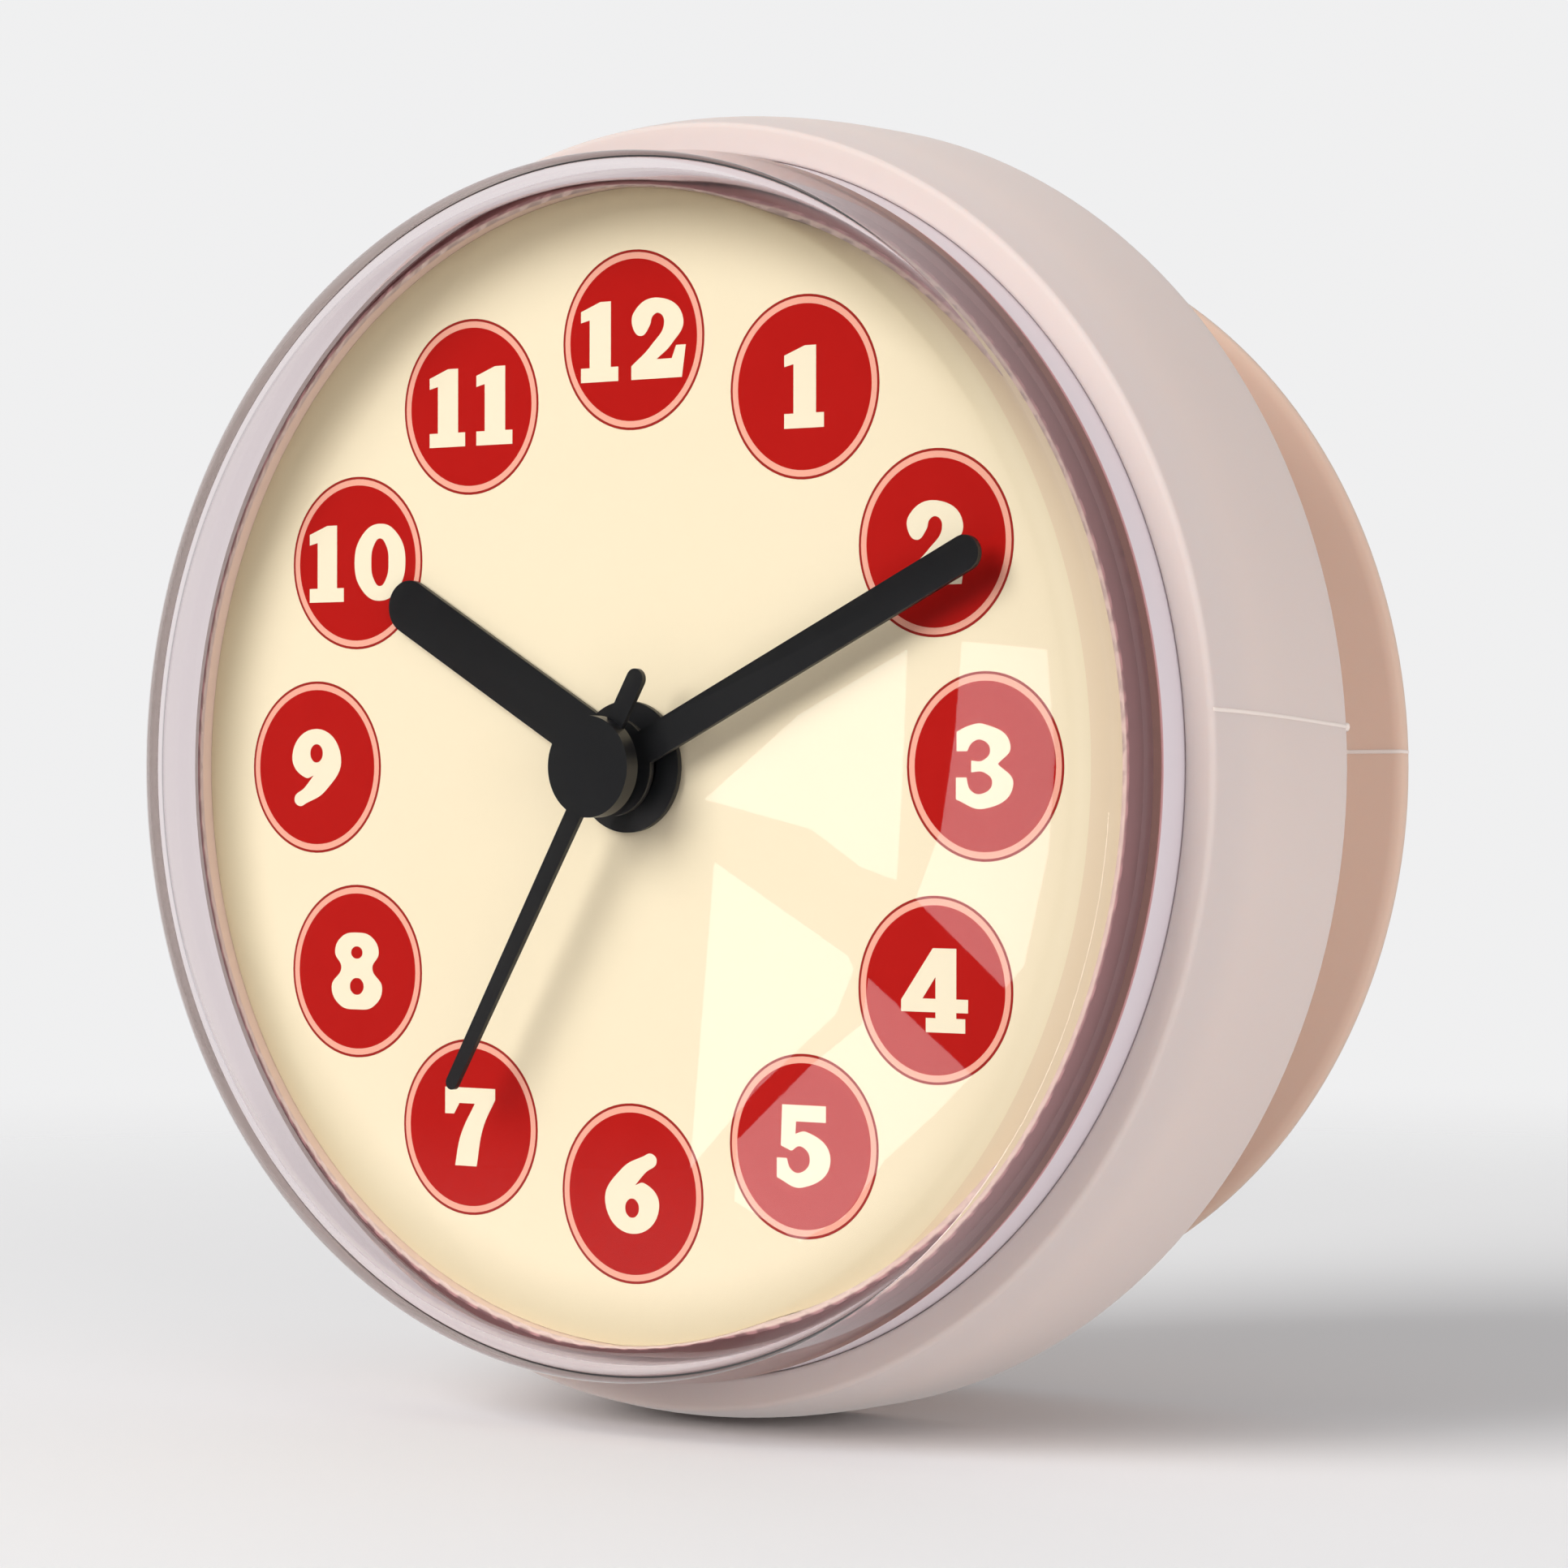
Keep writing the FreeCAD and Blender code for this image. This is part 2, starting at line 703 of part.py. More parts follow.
os.makedirs("parts", exist_ok=True)
for make in (
    silicone_sleeve, front_lens, lens_seal, core_case, dial, movement_front_plate, movement_back_cover,
    train_bridge, rotor, intermediate_wheel, second_wheel, third_wheel, centre_wheel, cannon_pinion, minute_wheel,
    hour_wheel, setting_knob, hour_hand, minute_hand, second_hand, battery, battery_contact_positive,
    battery_contact_negative, circuit_board, chip_blob, quartz_crystal, stator, coil_bobbin, coil_winding,
):
    shape = make()
    shape.rotate(Vector(0, 0, 0), Vector(1, 0, 0), 90)
    shape.exportStep("parts/" + make.__name__ + ".step")
    print(make.__name__, len(shape.Solids), "solids", round(shape.Volume, 2), "mm3")
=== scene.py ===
import json
import math

import bpy
from mathutils import Matrix, Vector


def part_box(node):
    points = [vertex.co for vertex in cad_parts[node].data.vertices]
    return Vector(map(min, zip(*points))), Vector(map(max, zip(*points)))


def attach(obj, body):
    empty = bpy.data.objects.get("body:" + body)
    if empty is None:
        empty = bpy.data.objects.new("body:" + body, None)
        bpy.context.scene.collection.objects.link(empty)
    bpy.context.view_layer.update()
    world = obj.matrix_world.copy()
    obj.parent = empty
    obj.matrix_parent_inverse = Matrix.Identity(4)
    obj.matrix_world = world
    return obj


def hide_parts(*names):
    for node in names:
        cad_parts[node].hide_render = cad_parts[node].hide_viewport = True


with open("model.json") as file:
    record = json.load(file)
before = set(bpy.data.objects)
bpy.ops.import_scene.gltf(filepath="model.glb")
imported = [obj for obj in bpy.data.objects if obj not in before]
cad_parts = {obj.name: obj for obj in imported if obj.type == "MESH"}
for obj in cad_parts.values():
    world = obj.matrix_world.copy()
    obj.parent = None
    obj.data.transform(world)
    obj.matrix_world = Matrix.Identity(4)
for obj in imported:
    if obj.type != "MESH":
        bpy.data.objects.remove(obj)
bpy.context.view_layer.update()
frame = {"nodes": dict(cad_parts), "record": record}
bpy.ops.object.select_all(action="DESELECT")

# Silicone sleeve: a flared shell, a neck and a suction cup, cast in one soft moulding of pale pink silicone.
# It is one ring carried along the section, from the cup's hollow round the outside to the cavity's floor.
mm = 0.001
cup_low, cup_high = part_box("silicone_sleeve")
shell_r = cup_high.x / mm
mouth = -cup_low.y / mm
cup_r = 38.0
cup_lip_r = 36.6
cup_edge = 0.9
cup_edge_break = 0.25
cup_back_round = 0.3
cup_front = 12.6
cup_power = 1.25
cup_wall_steps = 9
hollow_depth = 3.4
hollow_flat_r = 20.0
hollow_power = 2.2
hollow_steps = 8
neck_r = 15.0
neck_fillet = 1.4
neck_foot_r = 2.2
neck_foot_rise = 2.4
shell_back = 17.4
rear_round = 0.7
barrel_foot = shell_back + 1.6
barrel_steps = 11
mouth_drop = 1.3
mouth_power = 3.4
lip_round = 0.45
inner_lip_round = 0.3
cavity_r = 40.46
hug_r = 40.24
hug_to, cavity_from = 1.2, 2.0
cavity_floor = 19.3
cavity_corner = 0.5
pole_r = 0.4
sleeve_sides = 192
sleeve_smooth = 50.0
skin_depth = 0.02


def arc(centre_r, centre_s, radius, start, end, steps):
    """Points of radius and height along an arc. Its angles, in degrees, run from outwards to the front."""
    turns = [math.radians(start + (end - start) * k / steps) for k in range(steps + 1)]
    return [(centre_r + radius * math.cos(a), centre_s + radius * math.sin(a)) for a in turns]


def edit(piece):
    """Select one piece alone and open it for editing, with all of it selected."""
    bpy.ops.object.select_all(action="DESELECT")
    bpy.context.view_layer.objects.active = piece
    piece.select_set(True)
    bpy.ops.object.mode_set(mode="EDIT")
    bpy.ops.mesh.select_all(action="SELECT")


def done(piece, smooth):
    """Point the faces outwards, leave edit mode and shade the edges under an angle smooth."""
    bpy.ops.mesh.select_all(action="SELECT")
    bpy.ops.mesh.normals_make_consistent(inside=False)
    bpy.ops.object.mode_set(mode="OBJECT")
    bpy.ops.object.shade_smooth_by_angle(angle=math.radians(smooth))
    bpy.ops.object.select_all(action="DESELECT")
    return piece


def lathe(name, section, sides, smooth):
    """Carry a ring through the radii and heights of a section, about the clock's axis, and close its ends."""
    r, s = section[0]
    bpy.ops.mesh.primitive_circle_add(
        vertices=sides, radius=r * mm, location=(0, -s * mm, 0), rotation=(math.pi / 2, 0, 0))
    piece = bpy.context.object
    piece.name = piece.data.name = name
    bpy.ops.object.transform_apply(location=True, rotation=True, scale=True)
    edit(piece)
    for (r0, s0), (r1, s1) in zip(section, section[1:]):
        bpy.ops.mesh.extrude_region_move(TRANSFORM_OT_translate={"value": (0, (s0 - s1) * mm, 0)})
        bpy.ops.transform.resize(value=(r1 / r0, 1, r1 / r0), center_override=(0, -s1 * mm, 0))
    bpy.ops.mesh.select_all(action="DESELECT")
    bpy.ops.mesh.select_non_manifold()
    bpy.ops.mesh.fill_holes(sides=0)
    return done(piece, smooth)


def srgb(r, g, b):
    """A colour given as it looks on a screen, as light."""
    light = tuple((c / 255 / 12.92 if c <= 10 else ((c / 255 + 0.055) / 1.055) ** 2.4) for c in (r, g, b))
    return light + (1.0,)


def finish(name, colour, second, rough, grain, bump=0.0, bump_grain=None, **sockets):
    """A moulded or painted finish: a soft drift of two colours, uneven roughness and a fine skin of bumps."""
    material = bpy.data.materials.new(name)
    material.use_nodes = True
    nodes, links = material.node_tree.nodes, material.node_tree.links
    shader = nodes["Principled BSDF"]
    place = nodes.new("ShaderNodeTexCoord")
    drift = nodes.new("ShaderNodeTexNoise")
    drift.inputs["Scale"].default_value = grain
    drift.inputs["Detail"].default_value = 4.0
    links.new(place.outputs["Object"], drift.inputs["Vector"])
    tint = nodes.new("ShaderNodeMix")
    tint.data_type = "RGBA"
    tint.inputs["A"].default_value = colour
    tint.inputs["B"].default_value = second
    links.new(drift.outputs["Fac"], tint.inputs["Factor"])
    links.new(tint.outputs["Result"], shader.inputs["Base Color"])
    spread = nodes.new("ShaderNodeMapRange")
    spread.inputs["To Min"].default_value, spread.inputs["To Max"].default_value = rough
    links.new(drift.outputs["Fac"], spread.inputs["Value"])
    links.new(spread.outputs["Result"], shader.inputs["Roughness"])
    if bump:
        skin = nodes.new("ShaderNodeTexNoise")
        skin.inputs["Scale"].default_value = bump_grain or grain * 6
        skin.inputs["Detail"].default_value = 3.0
        links.new(place.outputs["Object"], skin.inputs["Vector"])
        raised = nodes.new("ShaderNodeBump")
        raised.inputs["Strength"].default_value = bump
        raised.inputs["Distance"].default_value = skin_depth * mm
        links.new(skin.outputs["Fac"], raised.inputs["Height"])
        links.new(raised.outputs["Normal"], shader.inputs["Normal"])
    for socket, value in sockets.items():
        shader.inputs[socket.replace("_", " ")].default_value = value
    return material


def fade_along(material, axis, start, end, other_colour):
    """Turn the finish to another colour between two places, in metres, along an axis or the radius R."""
    nodes, links = material.node_tree.nodes, material.node_tree.links
    shader = nodes["Principled BSDF"]
    before = shader.inputs["Base Color"].links[0].from_socket
    place = nodes.new("ShaderNodeTexCoord")
    if axis == "R":
        flat = nodes.new("ShaderNodeVectorMath")
        flat.operation = "MULTIPLY"
        flat.inputs[1].default_value = (1.0, 0.0, 1.0)
        away = nodes.new("ShaderNodeVectorMath")
        away.operation = "LENGTH"
        links.new(place.outputs["Object"], flat.inputs[0])
        links.new(flat.outputs["Vector"], away.inputs[0])
        reach = away.outputs["Value"]
    else:
        split = nodes.new("ShaderNodeSeparateXYZ")
        links.new(place.outputs["Object"], split.inputs["Vector"])
        reach = split.outputs[axis]
    span = nodes.new("ShaderNodeMapRange")
    span.interpolation_type = "SMOOTHSTEP"
    span.inputs["From Min"].default_value = start
    span.inputs["From Max"].default_value = end
    links.new(reach, span.inputs["Value"])
    blend = nodes.new("ShaderNodeMix")
    blend.data_type = "RGBA"
    links.new(span.outputs["Result"], blend.inputs["Factor"])
    links.new(before, blend.inputs["A"])
    blend.inputs["B"].default_value = other_colour
    links.new(blend.outputs["Result"], shader.inputs["Base Color"])


def cup_side(r):
    """The height of the cup's front at a radius."""
    return cup_edge + (cup_front - cup_edge) * ((cup_r - r) / (cup_r - neck_r)) ** cup_power


def shell_side(s):
    """The radius of the shell at a height."""
    return shell_r - mouth_drop * ((s - shell_back) / (mouth - shell_back)) ** mouth_power


hollow = [(pole_r, hollow_depth), (hollow_flat_r, hollow_depth)]
for k in range(1, hollow_steps + 1):
    share = k / hollow_steps
    hollow_r = hollow_flat_r + (cup_lip_r - hollow_flat_r) * share
    hollow.append((hollow_r, hollow_depth * (1 - share ** hollow_power)))
cup_back = [(cup_r - cup_edge_break, 0.0), (cup_r, cup_edge_break),
            (cup_r, cup_edge - cup_back_round), (cup_r - 0.2, cup_edge)]
cup_wall_out, cup_wall_in = cup_r - 0.8, neck_r + 1.6
cup_wall_radii = [cup_wall_out - (cup_wall_out - cup_wall_in) * k / cup_wall_steps
                  for k in range(cup_wall_steps + 1)]
cup_wall = [(r, cup_side(r)) for r in cup_wall_radii]
neck_foot = arc(neck_r + neck_foot_r, cup_side(cup_wall_in) + neck_foot_rise, neck_foot_r, 215, 180, 4)
neck_head = arc(neck_r + neck_fillet, shell_back - neck_fillet, neck_fillet, 180, 90, 5)
rear_rim = arc(shell_r - rear_round, shell_back + rear_round, rear_round, -90, 0, 5)
barrel_top = mouth - lip_round
barrel_heights = [barrel_foot + (barrel_top - barrel_foot) * k / barrel_steps
                  for k in range(barrel_steps + 1)]
barrel = [(shell_side(height), height) for height in barrel_heights]
lip_r = shell_side(barrel_top)
lip = arc(lip_r - lip_round, barrel_top, lip_round, 15, 90, 4)
inner_lip = arc(hug_r + inner_lip_round, mouth - inner_lip_round, inner_lip_round, 90, 180, 3)
cavity = [(hug_r, mouth - hug_to), (cavity_r, mouth - cavity_from), (cavity_r, cavity_floor + cavity_corner),
          (cavity_r - cavity_corner, cavity_floor), (pole_r, cavity_floor)]
sleeve_section = hollow + cup_back + cup_wall + neck_foot + neck_head + rear_rim + barrel
sleeve_section += lip + inner_lip + cavity
sleeve = lathe("silicone_sleeve_moulding", sleeve_section, sleeve_sides, sleeve_smooth)
shell_pink = srgb(222, 205, 198)
shell_rose = srgb(218, 200, 193)
# The cup's warm peach, faded in towards the back, is painted light and shade: warm light bounced between the
# shell and the cup, and the shade behind the shell.
cup_warm_shade = srgb(223, 191, 172)
# The darker rose towards the mouth is painted shade, which tones down the lamps' light on the lip.
lip_shade_rose = srgb(213, 198, 193)
cup_shade_from, cup_shade_full = -17.0, -11.0
lip_shade_from, lip_shade_full = -27.0, -30.5
pink_silicone = finish(
    "pink_silicone", shell_pink, shell_rose, rough=(0.42, 0.52), grain=40.0, bump=0.12, bump_grain=9000.0,
    Subsurface_Weight=0.25, Subsurface_Scale=2.0 * mm, Sheen_Weight=0.05)
pink_silicone.node_tree.nodes["Principled BSDF"].inputs["Subsurface Radius"].default_value = (1.0, 0.6, 0.45)
fade_along(pink_silicone, "Y", cup_shade_from * mm, cup_shade_full * mm, cup_warm_shade)
fade_along(pink_silicone, "Y", lip_shade_from * mm, lip_shade_full * mm, lip_shade_rose)
sleeve.data.materials.append(pink_silicone)
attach(sleeve, "sleeve")
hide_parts("silicone_sleeve")

# Mould line: the thin seam that the two halves of the mould leave along both sides of the shell and the
# cup. It is a fine bead of the same silicone, half sunk in the surface, with a nib at the shell's rear edge.
# It is coloured a little lighter than the shell, a painted highlight along the bead.
seam_way = 3.3
seam_slant = 0.1
seam_r = 0.15
seam_sink = 0.08
nib_r = 0.28
nib_line = [(shell_r - 0.3, shell_back + 0.55), (shell_r - 0.05, shell_back + 0.1)]
# Painted highlight: the bead is coloured lighter than the shell.
seam_highlight = finish("seam_highlight", srgb(240, 226, 218), srgb(236, 221, 213), rough=(0.42, 0.52), grain=40.0)


def seam_bead(name, side, section, radius):
    """A fine bead along a section of the sleeve, on the right (1) or the left (-1), climbing to the mouth."""
    line = bpy.data.curves.new(name, "CURVE")
    line.dimensions = "3D"
    line.bevel_depth = radius * mm
    line.bevel_resolution = 2
    line.use_fill_caps = True
    spline = line.splines.new("POLY")
    spline.points.add(len(section) - 1)
    for point, (r, height) in zip(spline.points, section):
        way = math.radians(seam_way + seam_slant * (height - shell_back))
        out = (r - seam_sink) * mm
        point.co = (side * out * math.cos(way), -height * mm, out * math.sin(way), 1.0)
    bead = bpy.data.objects.new(name, line)
    bpy.context.collection.objects.link(bead)
    bpy.ops.object.select_all(action="DESELECT")
    bpy.context.view_layer.objects.active = bead
    bead.select_set(True)
    bpy.ops.object.convert(target="MESH")
    bead.data.materials.append(seam_highlight)
    bpy.ops.object.shade_smooth()
    bead.select_set(False)
    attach(bead, "sleeve")


for name, side in (("right", 1), ("left", -1)):
    seam_bead("mould_line_" + name, side, rear_rim[2:] + barrel + lip[:2], seam_r)
    seam_bead("mould_nib_" + name, side, nib_line, nib_r)
    seam_bead("cup_line_" + name, side, cup_back[1:] + cup_wall[:6], seam_r)

# Core case: the rigid drum that carries the dial and the lens, moulded in smooth pale plastic. Its rim's light
# pink is painted light and its groove's mauve is painted shade; both show through the lens, and its lilac side
# shows when the core is pulled out.
finer_from_r = 37.0
finer_cuts = 3
chord_drop = 0.03
wall_facing = 0.98
groove_from_r, groove_full_r = 38.15, 38.3
side_from, side_full = -33.97, -33.9
same_place = 0.001 * mm
gentle_edge = 30.0


def dressed(node, material):
    """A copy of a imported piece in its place, with its faces joined up and its round faces shaded smooth."""
    piece = bpy.data.objects.new(node + "_finished", frame["nodes"][node].data.copy())
    bpy.context.collection.objects.link(piece)
    edit(piece)
    bpy.ops.mesh.remove_doubles(threshold=same_place)
    bpy.ops.object.mode_set(mode="OBJECT")
    bpy.ops.object.shade_smooth_by_angle(angle=math.radians(gentle_edge))
    piece.select_set(False)
    piece.data.materials.clear()
    piece.data.materials.append(material)
    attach(piece, body_of(node))
    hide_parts(node)
    return piece


def body_of(node):
    """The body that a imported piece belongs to."""
    return next(b for b, members in frame["record"]["behaviour"]["bodies"].items() if node in members)


def round_out(piece, from_r, cuts):
    """Cut the turned faces outside a radius into finer strips, and make them round in shape and shade."""
    edit(piece)
    bpy.ops.mesh.tris_convert_to_quads(face_threshold=math.radians(1), shape_threshold=math.pi)
    bpy.ops.mesh.select_mode(type="EDGE")
    bpy.ops.mesh.select_all(action="DESELECT")
    bpy.ops.object.mode_set(mode="OBJECT")
    corners = piece.data.vertices
    circles = set()
    for e in piece.data.edges:
        a, b = (corners[i].co for i in e.vertices)
        ra, rb = math.hypot(a.x, a.z), math.hypot(b.x, b.z)
        e.select = min(ra, rb) > from_r * mm and abs(ra - rb) < same_place and abs(a.y - b.y) < same_place
        if e.select:
            circles.add(round(ra / mm, 3) * mm)
    bpy.ops.object.mode_set(mode="EDIT")
    bpy.ops.mesh.subdivide(number_cuts=cuts)
    bpy.ops.mesh.select_mode(type="VERT")
    bpy.ops.object.mode_set(mode="OBJECT")
    corners = piece.data.vertices
    for v in corners:
        r = math.hypot(v.co.x, v.co.z)
        near = [c for c in circles if abs(c - r) < chord_drop * mm]
        if near:
            v.co.x *= near[0] / r
            v.co.z *= near[0] / r
    facings = []
    for face in piece.data.polygons:
        for number in face.vertices:
            corner = corners[number].co
            outwards = Vector((corner.x, 0, corner.z)).normalized()
            side = outwards.dot(face.normal)
            turned = abs(side) > wall_facing and math.hypot(corner.x, corner.z) > from_r * mm
            facings.append(outwards * math.copysign(1, side) if turned else Vector())
    piece.data.normals_split_custom_set(facings)
    bpy.ops.object.select_all(action="DESELECT")


# Painted light and shade: the rim's pink is lightened as lit, and the groove's mauve is darkened as shaded.
rim_lit_pink = srgb(246, 220, 208)
groove_shade_mauve = srgb(206, 152, 154)
side_lilac = srgb(224, 214, 220)
case_plastic = finish("case_plastic", rim_lit_pink, rim_lit_pink, rough=(0.3, 0.4), grain=900.0)
fade_along(case_plastic, "R", groove_from_r * mm, groove_full_r * mm, groove_shade_mauve)
fade_along(case_plastic, "Y", side_from * mm, side_full * mm, side_lilac)
round_out(dressed("core_case", case_plastic), finer_from_r, finer_cuts)

# Movement housing: the front plate with the neck for the hands' arbors, the back cover with the battery bay,
# and the bridge over the fast wheels. All three are moulded in black plastic with a fine matt grain.
black_plastic = finish("movement_plastic", srgb(38, 38, 41), srgb(46, 46, 49), rough=(0.48, 0.62),
                       grain=300.0, bump=0.35, bump_grain=5000.0)
for node in ("movement_front_plate", "movement_back_cover", "train_bridge"):
    dressed(node, black_plastic)

# Wheel train: seven moulded wheels and the stepping rotor. Five wheels are white acetal, and the two that
# carry the hour and minute hands on their tubes are black, as the tubes show between the hands.
white_acetal = finish("wheel_plastic", srgb(236, 232, 220), srgb(228, 223, 208), rough=(0.3, 0.42),
                      grain=500.0, Subsurface_Weight=0.15, Subsurface_Scale=0.5 * mm)
rotor_grey = finish("rotor_magnet", srgb(92, 90, 96), srgb(78, 77, 83), rough=(0.3, 0.45),
                    grain=900.0, Metallic=0.6)
tube_black = finish("tube_plastic", srgb(30, 30, 33), srgb(36, 36, 39), rough=(0.35, 0.45), grain=600.0)
for node in ("intermediate_wheel", "second_wheel", "third_wheel", "centre_wheel", "minute_wheel"):
    dressed(node, white_acetal)
for node in ("cannon_pinion", "hour_wheel"):
    dressed(node, tube_black)
dressed("rotor", rotor_grey)

# Setting knob: a ridged thumb wheel of red plastic behind the movement, in one moulding with its arbor and
# its pinion. The pinion meshes with the minute wheel, so turning the knob sets the hands.
knob_red = finish("knob_plastic", srgb(188, 40, 34), srgb(176, 34, 30), rough=(0.32, 0.42), grain=500.0,
                  bump=0.1, bump_grain=5000.0)
dressed("setting_knob", knob_red)

# Battery: one slim cell in a printed sleeve, with its bright terminal. The sleeve's two plain colours meet
# near the positive end.
band_width = 9.0
band_blend = 0.1 * mm
band_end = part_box("battery")[1].x - band_width * mm
band_copper = srgb(196, 138, 84)
cell_print = finish("battery_can", srgb(74, 80, 88), srgb(66, 72, 80), rough=(0.22, 0.3), grain=250.0,
                    Metallic=0.7)
fade_along(cell_print, "X", band_end - band_blend, band_end + band_blend, band_copper)
dressed("battery", cell_print)

# Battery contacts: strips of plated spring steel, bent over at each end of the bay. They press on the cell
# and carry its current to the board.
plated_steel = finish("contact_steel", srgb(200, 198, 192), srgb(184, 182, 176), rough=(0.2, 0.34),
                      grain=1500.0, Metallic=1.0)
for node in ("battery_contact_positive", "battery_contact_negative"):
    dressed(node, plated_steel)

# Circuit board: a small board with the chip under a drop of black resin and the crystal in its bright can.
# Both are fixed on the board, which lies in the movement's housing.
solder_mask = finish("board", srgb(28, 88, 54), srgb(36, 102, 62), rough=(0.3, 0.45), grain=1200.0, bump=0.2)
chip_resin = finish("chip_resin", srgb(20, 20, 22), srgb(28, 28, 30), rough=(0.12, 0.24), grain=700.0)
bright_can = finish("crystal_can", srgb(206, 205, 202), srgb(190, 189, 186), rough=(0.14, 0.24),
                    grain=1500.0, Metallic=1.0)
dressed("circuit_board", solder_mask)
dressed("chip_blob", chip_resin)
dressed("quartz_crystal", bright_can)

# Motor: the soft iron strip round the rotor, and the coil of enamelled copper wire on its bobbin.
# The wire's turns are fine bands round the coil.
turns_scale = 1500.0
turns_height = 0.05
iron = finish("soft_iron", srgb(140, 140, 144), srgb(120, 120, 124), rough=(0.35, 0.5), grain=1500.0,
              Metallic=1.0)
bobbin_cream = finish("bobbin_plastic", srgb(228, 222, 204), srgb(220, 214, 196), rough=(0.4, 0.5),
                      grain=500.0)
copper = finish("copper_winding", srgb(188, 104, 52), srgb(168, 88, 42), rough=(0.25, 0.4), grain=2500.0,
                Metallic=1.0)
copper_nodes, copper_links = copper.node_tree.nodes, copper.node_tree.links
turns = copper_nodes.new("ShaderNodeTexWave")
turns.bands_direction = "X"
turns.inputs["Scale"].default_value = turns_scale
turn_place = copper_nodes.new("ShaderNodeTexCoord")
turn_bump = copper_nodes.new("ShaderNodeBump")
turn_bump.inputs["Distance"].default_value = turns_height * mm
copper_links.new(turn_place.outputs["Object"], turns.inputs["Vector"])
copper_links.new(turns.outputs["Fac"], turn_bump.inputs["Height"])
copper_links.new(turn_bump.outputs["Normal"], copper_nodes["Principled BSDF"].inputs["Normal"])
dressed("stator", iron)
dressed("coil_bobbin", bobbin_cream)
dressed("coil_winding", copper)

# Dial: a flat printed disc of cream card. It is the imported disc itself, with the print on it as thin layers.
# The card is painted a little darker towards its rim, a painted shade where the rim's shadow falls.
dial_face = -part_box("dial")[0].y / mm
edge_from_r, edge_full_r = 33.0, 38.0
# A painted shade: the cream darkens towards the rim, where the rim's shadow falls.
dial_edge_shade = srgb(228, 216, 182)
dial_cream = finish("dial_print", srgb(255, 243, 212), srgb(254, 241, 208), rough=(0.55, 0.65), grain=90.0,
                    Specular_IOR_Level=0.15)
fade_along(dial_cream, "R", edge_from_r * mm, edge_full_r * mm, dial_edge_shade)
dial = frame["nodes"]["dial"]
dial.data.materials.clear()
dial.data.materials.append(dial_cream)

# Badges: twelve red discs printed round the dial, each with a pale pink ring and a fine red line round it.
# Each is a layer of ink, raised a hair above the card.
badge_circle = 27.9
badge_r = 5.9
badge_line = 0.17
badge_ring = 0.42
badge_sides = 72
badge_smooth = 20.0
ink = 0.015
badge_red = finish("badge_red", srgb(190, 26, 22), srgb(184, 24, 20), rough=(0.5, 0.6), grain=200.0,
                    Specular_IOR_Level=0.15)
badge_pink = finish("badge_pink", srgb(255, 186, 164), srgb(252, 180, 158), rough=(0.5, 0.6), grain=200.0,
                    Specular_IOR_Level=0.15)
badge_outline = finish("badge_outline", srgb(168, 44, 38), srgb(160, 40, 34), rough=(0.5, 0.6),
                       grain=200.0, Specular_IOR_Level=0.15)


def hour_place(hour, radius):
    """The place of an hour on the dial, right and up from its middle."""
    a = math.radians(30 * hour)
    return radius * math.sin(a), radius * math.cos(a)


for hour in range(1, 13):
    x, z = hour_place(hour, badge_circle)
    bpy.ops.mesh.primitive_circle_add(
        vertices=badge_sides, radius=badge_r * mm, fill_type="NGON",
        location=(x * mm, -dial_face * mm, z * mm), rotation=(math.pi / 2, 0, 0))
    badge = bpy.context.object
    badge.name = badge.data.name = "badge_%02d" % hour
    bpy.ops.object.transform_apply(location=True, rotation=True, scale=True)
    for material in (badge_outline, badge_pink, badge_red):
        badge.data.materials.append(material)
    edit(badge)
    bpy.ops.mesh.extrude_region_move(TRANSFORM_OT_translate={"value": (0, -ink * mm, 0)})
    for slot_number, width in ((1, badge_line), (2, badge_ring)):
        bpy.ops.mesh.inset(thickness=width * mm)
        badge.active_material_index = slot_number
        bpy.ops.object.material_slot_assign()
    bpy.ops.mesh.select_all(action="DESELECT")
    bpy.ops.mesh.select_non_manifold()
    bpy.ops.mesh.fill_holes(sides=0)
    done(badge, badge_smooth)
    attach(badge, "core")

